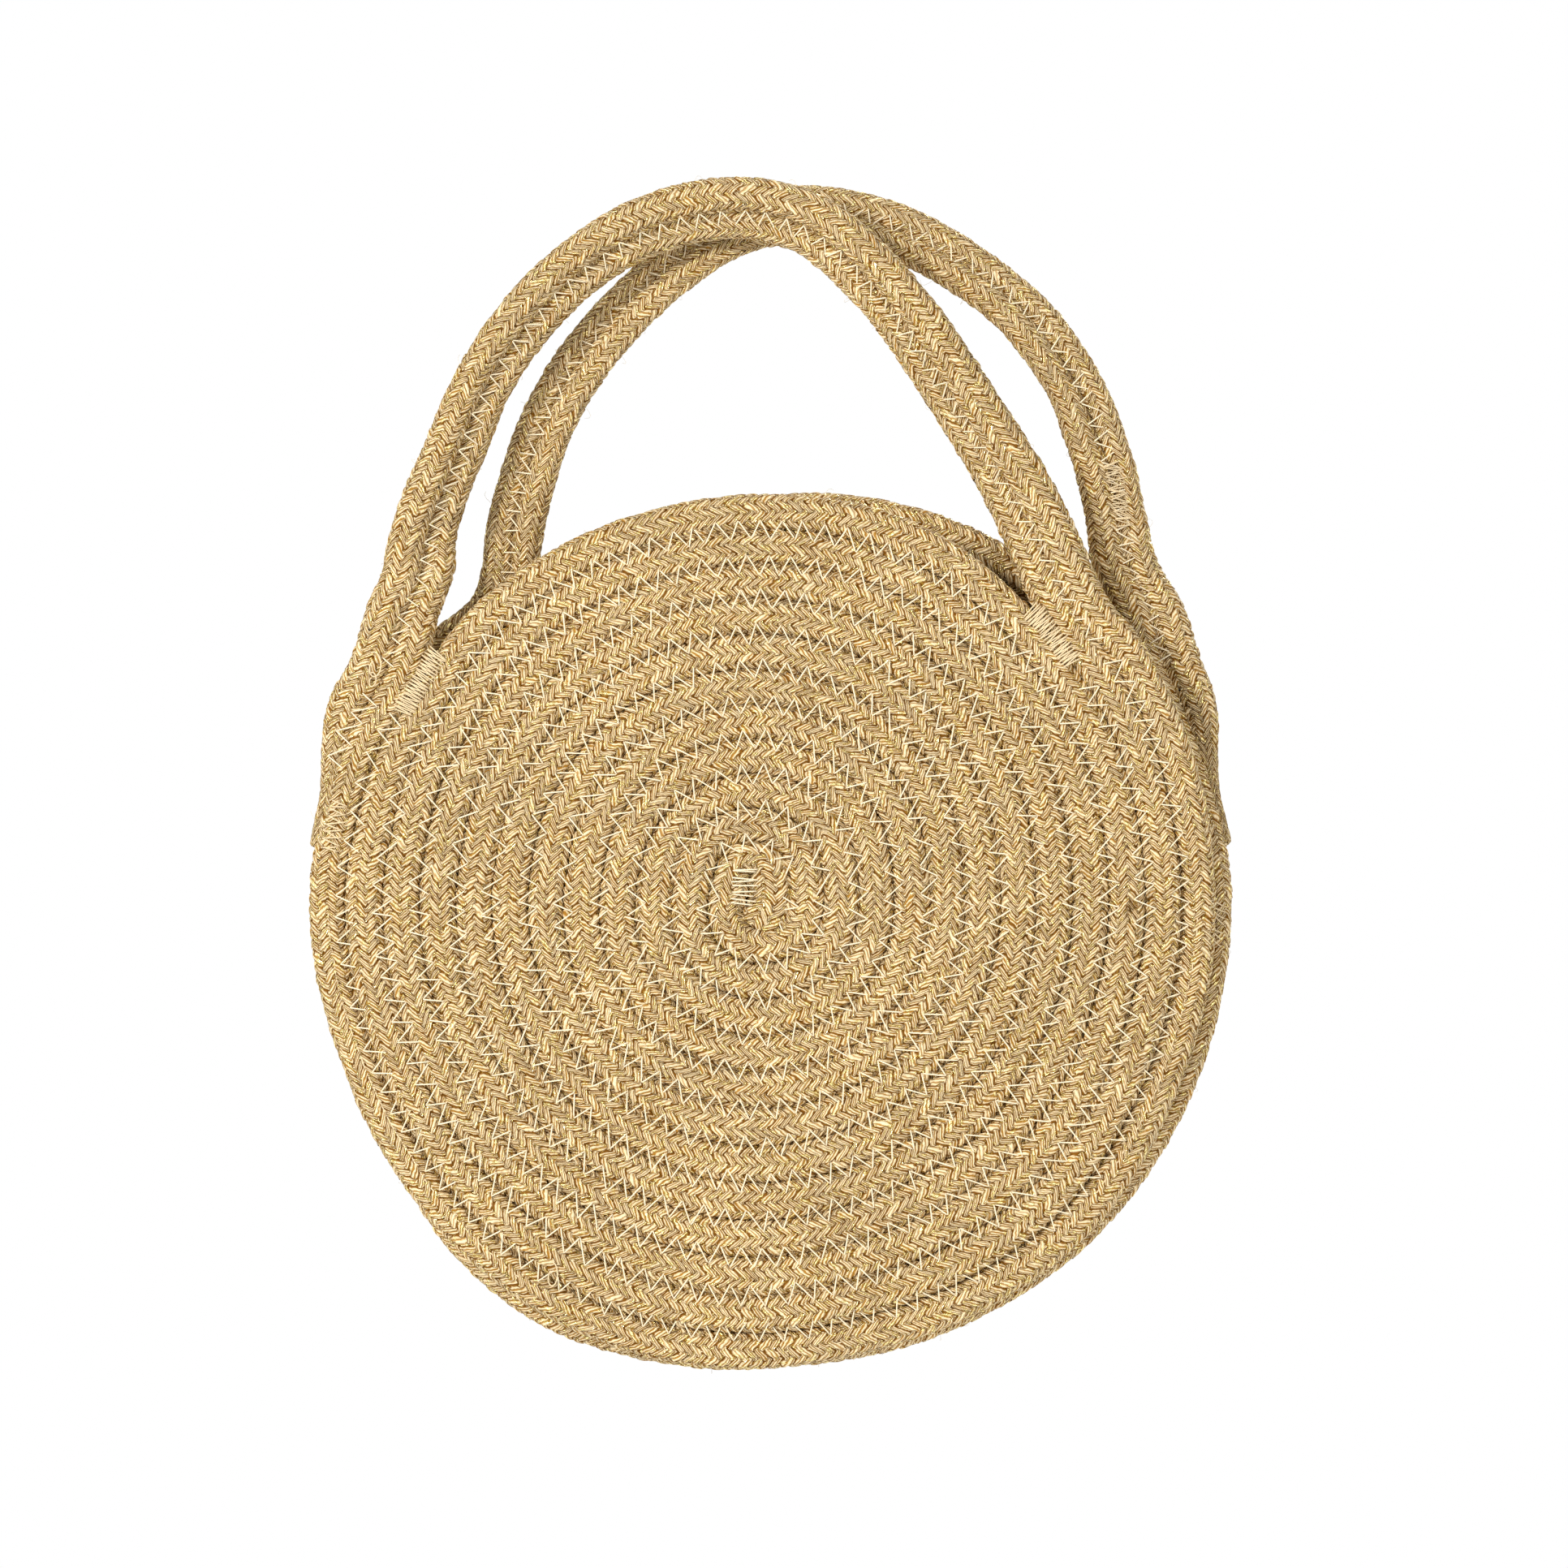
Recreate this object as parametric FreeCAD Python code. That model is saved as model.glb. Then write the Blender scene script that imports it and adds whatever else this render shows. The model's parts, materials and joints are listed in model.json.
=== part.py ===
import FreeCAD, Part
import math
import os

# A round rope bag: two flat coils of braided rope, sewn together round the rim and open at the top.
# Each coil's last turns leave the disc to make a handle of two strands. Millimetres, +Z up, +X to the
# right of someone who faces the front, -Y towards them. The origin is on the underside of both handles
# where they cross, the point that a hook or a hand carries. Shapes are made in the front half, with the
# coil's centre at height 0, and moved to that origin when saved. The back half is the front half turned
# half a turn about Z.

V = FreeCAD.Vector
UP = V(0, 0, 1)

# Rope and coil
ROPE_D = 7.3             # braided rope, over its yarns
COIL_GAP = 0.5           # between neighbouring turns, bridged by the zigzag thread
COIL_START_R = 4.0       # centreline radius of the first quarter turn
COIL_TURNS = 12          # whole turns from the rope's start to the right side of the rim
COIL_SHIFT = 3.2         # each coil's centre is this far to the left, seen from its own outside
TURN_QUARTERS = 4
QUARTER = 90.0           # degrees

# Panels and mouth
MOUTH_GAP = 6.0          # space between the two panels
RIM_GAP = 0.3            # between the two sewn rims
BEND_HEIGHT = 29.7       # the line between the seam's ends, where the lips bend, above the coil's centre
BEND_GAP = 0.3           # left between the pieces above and below a bending line

# Handle
RIGHT_ROOT_ANGLE = 36.0  # where the strands leave the disc, round from the right of the coil's centre
LEFT_ROOT_ANGLE = 155.0
TAIL_START_ANGLE = 160.0 # where the rope's end begins to taper, outside the rim
TAIL_END_ANGLE = 173.0
TAIL_END_R = 1.5         # the rope's end is squeezed flat under its tack
HANDLE_RISE = 97.3       # from the right root to the top of the handle's middle line
HANDLE_BEND_RISE = 13.0  # the handle's bending line, above the right root
HANDLE_SPAN_SHARES = (0.84, 0.56, 0.27, 0.01, -0.31, -0.605, -0.785, -0.875)
HANDLE_RISE_SHARES = (0.28, 0.665, 0.94, 1.0, 0.92, 0.70, 0.41, 0.15)

# Stitching
THREAD_D = 0.5
STITCH_LIFT = 0.2        # the thread's clearance over the rope
ZIG_WIDTH = 4.7
ZIG_PITCH = 4.8
ZIG_LEAN_SHARE = 0.37    # of the pitch, the advance of the steeper stroke, which runs inward
ZIG_SKIP_QUARTERS = 3    # quarter turns under the centre tack, without a zigzag
SEAM_PITCH = 3.6
TACK_T = 0.7
BARTACK_L = 15.0
BARTACK_W = 4.6
BARTACK_CLEARANCE = 1.0  # between a bartack and the next zigzag
CENTRE_TACK_L = 8.0
CENTRE_TACK_W = 3.8
CENTRE_TACK_ANGLE = 150.0
TAIL_TACK_L = 8.0
MOUTH_TACK_L = 9.0
SPLICE_L = 20.0
SPLICE_SHARE = 0.825     # along the handle's middle line, from its right root

# Worked out
ROPE_R = ROPE_D / 2
PITCH = ROPE_D + COIL_GAP
HALF_PITCH = PITCH / 2
QUARTER_STEP = PITCH / TURN_QUARTERS
COIL_Y = -(MOUTH_GAP / 2 + ROPE_R)
RIM_Y = -(RIM_GAP / 2 + ROPE_R)
COIL_CENTRE = V(-COIL_SHIFT, COIL_Y, 0)
TIP_INSET = (PITCH - ZIG_WIDTH) / 2
THREAD_Y = COIL_Y - math.sqrt(ROPE_R ** 2 - TIP_INSET ** 2) - STITCH_LIFT
OUTER_STRAND = COIL_TURNS * TURN_QUARTERS
INNER_STRAND = OUTER_STRAND - TURN_QUARTERS
DISC_EDGE = INNER_STRAND - TURN_QUARTERS
REACH = 4 * (COIL_START_R + COIL_TURNS * PITCH)


def ray(angle):
    """The unit vector at an angle in degrees, anticlockwise from the right as seen from the front."""
    return V(math.cos(math.radians(angle)), 0, math.sin(math.radians(angle)))


def unit(vector):
    return vector * (1 / vector.Length)


def turning(first, second):
    """Above zero where second is anticlockwise of first, as seen from the front."""
    return first.x * second.z - first.z * second.x


def arc(start, middle, end):
    return Part.Arc(start, middle, end).toShape()


def quarter_radius(quarter):
    return COIL_START_R + quarter * QUARTER_STEP


def coil_point(quarter, angle, outward=0):
    """A point on a quarter turn, whose centre is a corner of a small square so that turns stay tangent."""
    corner = ray((quarter + 1.5) * QUARTER) * (QUARTER_STEP / math.sqrt(2))
    return COIL_CENTRE + corner + ray(angle) * (quarter_radius(quarter) + outward)


def turn(quarter, first, last, outward=0):
    """The stretch of a quarter turn between two angles."""
    angles = (first, (first + last) / 2, last)
    return arc(*(coil_point(quarter, angle, outward) for angle in angles))


def turns(first, last, outward=0):
    """Whole quarter turns, from first up to but without last."""
    return [turn(q, q * QUARTER, (q + 1) * QUARTER, outward) for q in range(first, last)]


def tangent_middle(start, direction, end):
    """The middle of the arc that leaves start in a direction and reaches end."""
    chord = end - start
    toward = unit(chord)
    half = math.acos(min(direction.dot(toward), 1)) / 2
    return start + unit(direction + toward) * (chord.Length / (2 * math.cos(half)))


def biarc(start, start_way, end, end_way):
    """Two arcs, tangent to each other, from one point and direction to another."""
    chord = end - start
    along = chord.dot(start_way + end_way)
    spread = 2 * (1 - start_way.dot(end_way))
    reach = (math.sqrt(along ** 2 + spread * chord.dot(chord)) - along) / spread
    joint = (start + end + (start_way - end_way) * reach) * 0.5
    first = arc(start, tangent_middle(start, start_way, joint), joint)
    second = arc(joint, tangent_middle(end, end_way * -1, joint), end)
    return [first, second]


def handle_line():
    """The middle line between a handle's strands, from its right root over the top to its left root."""
    right = coil_point(INNER_STRAND, RIGHT_ROOT_ANGLE, HALF_PITCH)
    left = coil_point(INNER_STRAND + 1, LEFT_ROOT_ANGLE, HALF_PITCH)
    middle_x = (right.x + left.x) / 2
    half_span = (right.x - left.x) / 2
    knots = [right]
    for span_share, rise_share in zip(HANDLE_SPAN_SHARES, HANDLE_RISE_SHARES):
        knots.append(V(middle_x + span_share * half_span, COIL_Y, right.z + rise_share * HANDLE_RISE))
    knots.append(left)
    ways = [ray(RIGHT_ROOT_ANGLE + QUARTER)]
    for before, after in zip(knots, knots[2:]):
        ways.append(unit(after - before))
    ways.append(ray(LEFT_ROOT_ANGLE + QUARTER))
    line = []
    for index in range(len(knots) - 1):
        line += biarc(knots[index], ways[index], knots[index + 1], ways[index + 1])
    return line


def beside(edge, distance):
    """An arc moved to the left of its own direction."""
    first, last = edge.ParameterRange
    start, middle, end = (edge.valueAt(at) for at in (first, (first + last) / 2, last))
    side = distance * math.copysign(1, turning(middle - start, end - middle))
    centre = edge.Curve.Center
    return arc(*(point + unit(centre - point) * side for point in (start, middle, end)))


def along(path, distance):
    """The point and direction at a distance along a list of arcs."""
    for edge in path:
        if distance <= edge.Length:
            break
        distance -= edge.Length
    at = edge.getParameterByLength(min(distance, edge.Length))
    return edge.valueAt(at), edge.tangentAt(at)


def length(path):
    return sum(edge.Length for edge in path)


def tube(path):
    """Rope along a list of tangent arcs."""
    start, way = along(path, 0)
    section = Part.Wire(Part.makeCircle(ROPE_R, start, way))
    return Part.Wire(path).makePipeShell([section], True, False)


def tapered_tube(path, end_radius):
    """Rope that thins from its full size to a smaller end."""
    sections = []
    for distance, radius in ((0, ROPE_R), (length(path), end_radius)):
        point, way = along(path, distance)
        sections.append(Part.Wire(Part.makeCircle(radius, point, way)))
    return Part.Wire(path).makePipeShell(sections, True, False)


def layer(shape, low, high):
    """The solids of a shape between two heights, each end cut back by half a bending gap."""
    base = low + BEND_GAP / 2
    slab = Part.makeBox(2 * REACH, 2 * REACH, high - low - BEND_GAP, V(-REACH, -REACH, base))
    return shape.common(slab).Solids


def bar(start, end, width, back_y, thickness):
    """A flat bar between two points, its faces square to Y, reaching forward from back_y."""
    side = unit((end - start).cross(V(0, 1, 0))) * (width / 2)
    corners = [start + side, end + side, end - side, start - side, start + side]
    outline = Part.makePolygon([V(corner.x, back_y, corner.z) for corner in corners])
    return Part.Face(outline).extrude(V(0, -thickness, 0))


def left_of(way):
    """Square to a direction, on its left as seen from the front."""
    return V(-way.z, 0, way.x)


def zigzag_tips(path):
    """The turning points of a zigzag along a path."""
    tips = []
    for stitch in range(int(length(path) / ZIG_PITCH)):
        for side, advance_share in ((-1, 0), (1, ZIG_LEAN_SHARE)):
            point, way = along(path, (stitch + advance_share) * ZIG_PITCH)
            tips.append(point + left_of(way) * (side * (ZIG_WIDTH / 2 - THREAD_D)))
    return tips


def thread_band(tips):
    """One flat zigzag thread through a run of tips, with mitred turns."""
    sides = [left_of(unit(after - before)) for before, after in zip(tips, tips[1:])]
    mitres = []
    for before, after in zip(sides[:1] + sides, sides + sides[-1:]):
        mitres.append((before + after) * (THREAD_D / 2 / (1 + before.dot(after))))
    outline = [tip + mitre for tip, mitre in zip(tips, mitres)]
    outline += [tip - mitre for tip, mitre in zip(tips[::-1], mitres[::-1])]
    polygon = Part.makePolygon([V(point.x, THREAD_Y, point.z) for point in outline + outline[:1]])
    return Part.Face(polygon).extrude(V(0, -THREAD_D, 0))


def threads(tips, low, high):
    """The zigzag threads of the tips between two heights, one for each unbroken run."""
    margin = BEND_GAP / 2 + 2 * THREAD_D
    runs = [[]]
    for tip in tips:
        if low + margin < tip.z < high - margin:
            runs[-1].append(tip)
        elif runs[-1]:
            runs.append([])
    return [thread_band(run) for run in runs if len(run) > 2]


def rim_path():
    """The outermost turn. Between the bending line's ends it drops back to meet the other half's rim."""
    drop = V(0, RIM_Y - COIL_Y, 0)
    left_quarter = INNER_STRAND + 1
    left_angle = 2 * QUARTER - math.degrees(math.asin(BEND_HEIGHT / quarter_radius(left_quarter)))
    right_angle = math.degrees(math.asin(BEND_HEIGHT / quarter_radius(OUTER_STRAND)))
    sewn = turns(left_quarter + 1, OUTER_STRAND)
    for edge in sewn:
        edge.translate(drop)
    left_start = coil_point(left_quarter, left_angle)
    left_end = coil_point(left_quarter, 2 * QUARTER) + drop
    right_start = coil_point(OUTER_STRAND, 0) + drop
    right_end = coil_point(OUTER_STRAND, right_angle)
    path = [turn(left_quarter, LEFT_ROOT_ANGLE, left_angle)]
    path += biarc(left_start, ray(left_angle + QUARTER), left_end, ray(3 * QUARTER))
    path += sewn
    path += biarc(right_start, ray(QUARTER), right_end, ray(right_angle + QUARTER))
    path.append(turn(OUTER_STRAND, right_angle, RIGHT_ROOT_ANGLE))
    return path, sewn


def rope_end_path():
    """The last of the outer strand, which draws in beside the rim as it thins."""
    quarter = INNER_STRAND + 1
    start = coil_point(quarter, TAIL_START_ANGLE, PITCH)
    end = coil_point(quarter, TAIL_END_ANGLE, ROPE_R + COIL_GAP + TAIL_END_R)
    return biarc(start, ray(TAIL_START_ANGLE + QUARTER), end, ray(TAIL_END_ANGLE + QUARTER))


def seam_stitches(path):
    """The straight seam: a leg through both rims at each hole, and a stitch on either face between holes."""
    face = RIM_Y - ROPE_R - STITCH_LIFT
    through = 2 * (THREAD_D - face)
    holes = [along(path, hole * SEAM_PITCH)[0] for hole in range(int(length(path) / SEAM_PITCH) + 1)]
    stitches = []
    for hole, following in zip(holes, holes[1:]):
        way = unit(following - hole)
        leg_end = hole + way * THREAD_D
        stitches.append(bar(hole, leg_end, THREAD_D, -face + THREAD_D, through))
        stitches.append(bar(leg_end, following, THREAD_D, face, THREAD_D))
        stitches.append(bar(leg_end, following, THREAD_D, -face + THREAD_D, THREAD_D))
    return stitches


def mouth_tack():
    """Thread over the outside of both rims at the seam's left end."""
    outside = ROPE_R + STITCH_LIFT + TACK_T / 2
    quarter = INNER_STRAND + 2
    half_angle = math.degrees(MOUTH_TACK_L / 2 / quarter_radius(quarter))
    start = coil_point(quarter, 2 * QUARTER, outside)
    end = coil_point(quarter, 2 * QUARTER + 2 * half_angle, outside)
    return [bar(start, end, TACK_T, -RIM_Y, -2 * RIM_Y)]


def tack(quarter, first, last, width):
    """A flat patch of dense stitching over the groove outside a quarter turn."""
    start = coil_point(quarter, first, HALF_PITCH)
    end = coil_point(quarter, last, HALF_PITCH)
    return [bar(start, end, width, THREAD_Y, TACK_T)]


def arc_angle(distance, quarter):
    """The angle in degrees that a distance takes up in the groove outside a quarter turn."""
    return math.degrees(distance / (quarter_radius(quarter) + HALF_PITCH))


def height_on(path, x):
    """How high a handle's path is, at its top, over a place along X."""
    for edge in path:
        first, last = edge.ParameterRange
        ends = sorted((edge.valueAt(first).x, edge.valueAt(last).x))
        middle = edge.valueAt((first + last) / 2)
        if ends[0] <= x <= ends[1]:
            centre = edge.Curve.Center
            rise = math.sqrt(edge.Curve.Radius ** 2 - (x - centre.x) ** 2)
            return centre.z + math.copysign(rise, middle.z - centre.z)


def least_gap(path):
    """The least gap between a coil's tube and its own other turns, on points half a pitch apart."""
    count = int(length(path) / HALF_PITCH)
    points = [along(path, index * HALF_PITCH)[0] for index in range(count)]
    clear = TURN_QUARTERS * 2
    nearest = REACH
    for index, point in enumerate(points):
        for other in points[index + clear:]:
            nearest = min(nearest, point.distanceToPoint(other))
    return nearest - ROPE_D


def save(name, solids, turned_over=False):
    shape = Part.makeCompound(solids)
    if turned_over:
        shape.rotate(V(0, 0, 0), UP, 2 * QUARTER)
    shape.translate(V(0, 0, -hang_height))
    shape.exportStep("parts/" + name + ".step")


os.makedirs("parts", exist_ok=True)

# Paths
handle = handle_line()
inner_handle = [beside(edge, HALF_PITCH) for edge in handle]
outer_handle = [beside(edge, -HALF_PITCH) for edge in handle]
inner_path = [turn(INNER_STRAND, 0, RIGHT_ROOT_ANGLE)] + inner_handle
inner_path.append(turn(INNER_STRAND + 1, LEFT_ROOT_ANGLE, 2 * QUARTER))
outer_path = [turn(OUTER_STRAND, 0, RIGHT_ROOT_ANGLE)] + outer_handle
outer_path.append(turn(OUTER_STRAND + 1, LEFT_ROOT_ANGLE, TAIL_END_ANGLE))
tail_path = rope_end_path()
coil_path = turns(0, INNER_STRAND)
rim, sewn_rim = rim_path()

# Heights
hang_height = height_on(inner_handle, 0) - ROPE_R
handle_bend = coil_point(INNER_STRAND, RIGHT_ROOT_ANGLE, HALF_PITCH).z + HANDLE_BEND_RISE

# Rope
coil = tube(coil_path)
panel = tube(coil_path + [turn(INNER_STRAND, 0, RIGHT_ROOT_ANGLE)])
inner_strand = tube(inner_path)
outer_strand = tube(outer_path)
pieces = {}
pieces["panel_coil"] = layer(panel, -REACH, BEND_HEIGHT)
pieces["rim_turn"] = layer(tube(rim), -REACH, BEND_HEIGHT)
pieces["lip_coil"] = layer(coil, BEND_HEIGHT, REACH)
roots = layer(inner_strand, BEND_HEIGHT, handle_bend) + layer(outer_strand, BEND_HEIGHT, handle_bend)
pieces["left_handle_root"] = [root for root in roots if root.CenterOfMass.x < 0]
pieces["right_handle_root"] = [root for root in roots if root.CenterOfMass.x > 0]
pieces["handle_inner_strand"] = layer(inner_strand, handle_bend, REACH)
pieces["handle_outer_strand"] = layer(outer_strand, handle_bend, REACH)
pieces["rope_tail"] = layer(tapered_tube(tail_path, TAIL_END_R), -REACH, BEND_HEIGHT)

# Stitching of one half
bartack_angle = arc_angle(BARTACK_L, DISC_EDGE)
disc_row = turns(ZIG_SKIP_QUARTERS, DISC_EDGE, HALF_PITCH)
disc_row.append(turn(DISC_EDGE, 0, RIGHT_ROOT_ANGLE, HALF_PITCH))
edge_start = LEFT_ROOT_ANGLE + arc_angle(BARTACK_CLEARANCE, DISC_EDGE)
edge_row = [turn(DISC_EDGE + 1, edge_start, 2 * QUARTER, HALF_PITCH)]
edge_row += turns(DISC_EDGE + 2, INNER_STRAND, HALF_PITCH)
edge_row.append(turn(INNER_STRAND, 0, RIGHT_ROOT_ANGLE, HALF_PITCH))
edge_row += handle
tail_tack_angle = TAIL_END_ANGLE - arc_angle(TAIL_TACK_L, INNER_STRAND)
edge_row.append(turn(INNER_STRAND + 1, LEFT_ROOT_ANGLE, tail_tack_angle, HALF_PITCH))
disc_tips = zigzag_tips(disc_row)
edge_tips = zigzag_tips(edge_row)
pieces["panel_zigzag"] = threads(disc_tips, -REACH, BEND_HEIGHT) + threads(edge_tips, -REACH, BEND_HEIGHT)
pieces["lip_zigzag"] = threads(disc_tips, BEND_HEIGHT, REACH) + threads(edge_tips, BEND_HEIGHT, handle_bend)
pieces["handle_zigzag"] = threads(edge_tips, handle_bend, REACH)
left_tack_start = LEFT_ROOT_ANGLE - bartack_angle
pieces["left_bartack"] = tack(DISC_EDGE + 1, left_tack_start, LEFT_ROOT_ANGLE, BARTACK_W)
right_tack_end = RIGHT_ROOT_ANGLE + bartack_angle
pieces["right_bartack"] = tack(DISC_EDGE, RIGHT_ROOT_ANGLE, right_tack_end, BARTACK_W)
half_tack = arc_angle(CENTRE_TACK_L, 1) / 2
centre_angles = (CENTRE_TACK_ANGLE - half_tack, CENTRE_TACK_ANGLE + half_tack)
pieces["centre_tack"] = tack(1, *centre_angles, CENTRE_TACK_W)
pieces["tail_tack"] = tack(INNER_STRAND + 1, tail_tack_angle, TAIL_END_ANGLE, BARTACK_W)

# Both halves
for name, solids in pieces.items():
    save("front_" + name, solids)
    save("back_" + name, solids, True)

# Stitching that joins the halves, and the splice on the back handle
save("rim_seam", seam_stitches(sewn_rim))
save("left_mouth_tack", mouth_tack())
save("right_mouth_tack", mouth_tack(), True)
splice_middle = SPLICE_SHARE * length(handle)
splice_ends = [along(handle, splice_middle + SPLICE_L * end / 2)[0] for end in (-1, 1)]
splice = bar(*splice_ends, BARTACK_W, THREAD_Y - THREAD_D - STITCH_LIFT, TACK_T)
save("back_handle_splice", [splice], True)

# Measured on the shapes
print("coil: least gap to itself %.3f mm, rope %.0f mm" % (least_gap(coil_path), length(coil_path)))
print("handle strands: inner %.0f mm, outer %.0f mm" % (length(inner_handle), length(outer_handle)))
print("rim turn %.0f mm, tail %.0f mm" % (length(rim), length(tail_path)))
least_radius = min(edge.Curve.Radius for edge in inner_handle + outer_handle)
print("least radius on the handle's strands %.1f mm" % least_radius)
print("coil centre at (%.2f, %.2f, %.2f)" % (COIL_CENTRE.x, COIL_Y, -hang_height))
print("mouth bending line at z %.3f" % (BEND_HEIGHT - hang_height))
print("handle bending line at z %.3f" % (handle_bend - hang_height))
print("outermost thread face at y %.3f" % (THREAD_Y - THREAD_D))
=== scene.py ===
import json
import math
from functools import partialmethod

import bmesh
import bpy
import numpy as np
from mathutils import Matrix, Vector, kdtree


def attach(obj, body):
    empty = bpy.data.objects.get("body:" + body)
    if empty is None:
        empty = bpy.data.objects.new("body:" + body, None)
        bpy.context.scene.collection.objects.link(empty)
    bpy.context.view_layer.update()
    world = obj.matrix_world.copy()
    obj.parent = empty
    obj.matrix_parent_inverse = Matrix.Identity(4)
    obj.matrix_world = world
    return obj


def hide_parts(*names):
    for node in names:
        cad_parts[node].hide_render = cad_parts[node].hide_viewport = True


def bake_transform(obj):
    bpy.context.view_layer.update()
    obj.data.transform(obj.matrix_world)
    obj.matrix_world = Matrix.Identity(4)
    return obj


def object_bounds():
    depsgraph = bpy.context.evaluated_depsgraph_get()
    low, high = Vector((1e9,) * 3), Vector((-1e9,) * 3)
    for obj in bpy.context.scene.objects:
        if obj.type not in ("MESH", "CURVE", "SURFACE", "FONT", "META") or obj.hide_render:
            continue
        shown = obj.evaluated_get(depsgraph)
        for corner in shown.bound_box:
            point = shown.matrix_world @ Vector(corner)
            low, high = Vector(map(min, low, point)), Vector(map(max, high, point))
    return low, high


# Looks of the round rope bag, in metres, in the frame of the CAD part. Shapes are made as the front half,
# with the coil's centre at height 0. The back half is the front half turned half a turn about Z. Where a
# table has a row for each half, the front half's comes first.

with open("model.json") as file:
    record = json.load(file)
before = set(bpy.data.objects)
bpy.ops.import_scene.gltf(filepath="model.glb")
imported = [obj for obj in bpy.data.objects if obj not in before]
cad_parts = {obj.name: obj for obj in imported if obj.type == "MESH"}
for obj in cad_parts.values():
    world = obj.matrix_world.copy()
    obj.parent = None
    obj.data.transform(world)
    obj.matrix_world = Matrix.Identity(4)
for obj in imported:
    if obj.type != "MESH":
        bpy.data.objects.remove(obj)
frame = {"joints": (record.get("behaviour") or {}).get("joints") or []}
cad_low, cad_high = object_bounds()

MM = 0.001
QUARTER = 90.0
FULL_TURN = 360.0
TURN = 2 * math.pi
TOUCHING = 1e-7  # points nearer than this are one
HALVES = ("front", "back")
PARTS = ("panel", "lip", "handle")
TO_FRONT = np.array([0.0, -1.0, 0.0])
rng = np.random.default_rng(7)

# Sizes that part.py has too
ROPE_D = 7.3 * MM
COIL_GAP = 0.5 * MM
COIL_START_R = 4.0 * MM
COIL_TURNS = 12
COIL_SHIFT = 3.2 * MM
TURN_QUARTERS = 4
MOUTH_GAP = 6.0 * MM
RIM_GAP = 0.3 * MM
BEND_HEIGHT = 29.7 * MM
RIGHT_ROOT_ANGLE = 36.0
LEFT_ROOT_ANGLE = 155.0
TAIL_END_ANGLE = 173.0
TAIL_END_R = 1.5 * MM
HANDLE_RISE = 97.3 * MM
HANDLE_SPAN_SHARES = (0.84, 0.56, 0.27, 0.01, -0.31, -0.605, -0.785, -0.875)
HANDLE_RISE_SHARES = (0.28, 0.665, 0.94, 1.0, 0.92, 0.70, 0.41, 0.15)
ZIG_WIDTH = 4.7 * MM
ZIG_PITCH = 4.8 * MM
ZIG_LEAN_SHARE = 0.37
SEAM_PITCH = 3.6 * MM
BARTACK_L = 15.0 * MM
BARTACK_W = 4.6 * MM
TAIL_TACK_L = 8.0 * MM
MOUTH_TACK_L = 9.0 * MM
SPLICE_L = 20.0 * MM
SPLICE_SHARE = 0.825

# What follows from them
PITCH = ROPE_D + COIL_GAP
HALF_PITCH = PITCH / 2
QUARTER_STEP = PITCH / TURN_QUARTERS
OUTER_STRAND = COIL_TURNS * TURN_QUARTERS
INNER_STRAND = OUTER_STRAND - TURN_QUARTERS
DISC_EDGE = INNER_STRAND - TURN_QUARTERS
COIL_Y = -(MOUTH_GAP + ROPE_D) / 2
RIM_Y = -(RIM_GAP + ROPE_D) / 2
COIL_CENTRE = np.array([-COIL_SHIFT, COIL_Y, 0])

# Joints
hinges = {joint["name"]: joint for joint in frame["joints"]}
lip_hinge_z = hinges["front_lip_flex"]["pos_m"][2]
COIL_HEIGHT = lip_hinge_z - BEND_HEIGHT
ROOT_RISE = 19.0 * MM
SPLIT_HEIGHT = BEND_HEIGHT + ROOT_RISE  # where the handle's root ends

# Ends of the rope
START_DROP = 6.6 * MM  # how far its straight start hangs below the coil's first quarter
START_SHIFT = 2.8 * MM  # and how far to the left its end lies
START_BOW = 1.3  # 1 is straight
START_SWELL = 0.27  # how much thicker the rope is there, and over what length
START_SWELL_L = 22.0 * MM
TAIL_TUCK = 3.7 * MM  # from the rim's middle line to the tucked end
TAIL_HASTE = 1.3  # how much sooner than its end the tail is fully tucked in
TAIL_KNOTS = 400
END_ROUNDING = 1.0 * MM

# Braid of the rope
BRAID_COLUMNS = 10  # rows of yarn round the rope, leaning alternately either way
SIDES_PER_COLUMN = 4
SIDES = BRAID_COLUMNS * SIDES_PER_COLUMN
FLOAT_PITCH = 2.35 * MM  # between neighbouring bundles of yarn in a row
RINGS_PER_FLOAT = 4
RING_STEP = FLOAT_PITCH / RINGS_PER_FLOAT
FINE_STEP = 0.25 * MM  # between the points of a line
SECTION_WIDE = 4.32 * MM  # half the rope's width, pressed a little into the next turn
SECTION_DEEP = 3.72 * MM
SECTION_POWER = 2.4  # 2 is an ellipse, more is squarer
FREE_WIDE = 4.4 * MM  # the same on the handles, where the rope is rounder
FREE_DEEP = 4.2 * MM
FREE_POWER = 1.95
FREE_RAMP_SHARE = 0.09  # of the handle's length, over which it gets so
PRESS_POWER = 4  # how quickly the braid is flat on the side where two strands touch
COLUMN_SHEAR = TURN * SECTION_DEEP / BRAID_COLUMNS
FLOAT_HEIGHT = 0.74 * MM
FLOAT_LEAST = 0.72  # of that, the flattest bundle's height, and how much more others have
FLOAT_MORE = 0.42
FLOAT_END_DIP = 0.65  # of its height, how far a bundle dives at its ends
FLOAT_NARROWING = 0.34  # of its width, how much narrower a bundle is at its ends
FLOAT_END_POWER = 3  # how near to its ends it does so
TIP_REACH = 0.3  # of a row's width, how far bundle ends reach in between those of the next row
UNEVEN = 0.16  # of the bundles' spacing
UNEVEN_WAVES = ((0.71, 2.4), (1.93, 4.1))  # turned by each bundle along a row, and from row to row
LOT_SEEDS = (12.9898, 78.233, 43758.5453)
SLANT_WAVES = ((0.2, 1 / 0.05, 0), (0.12, 1 / 0.23, 1))  # height, length in rings over 2 pi, and start
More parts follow.
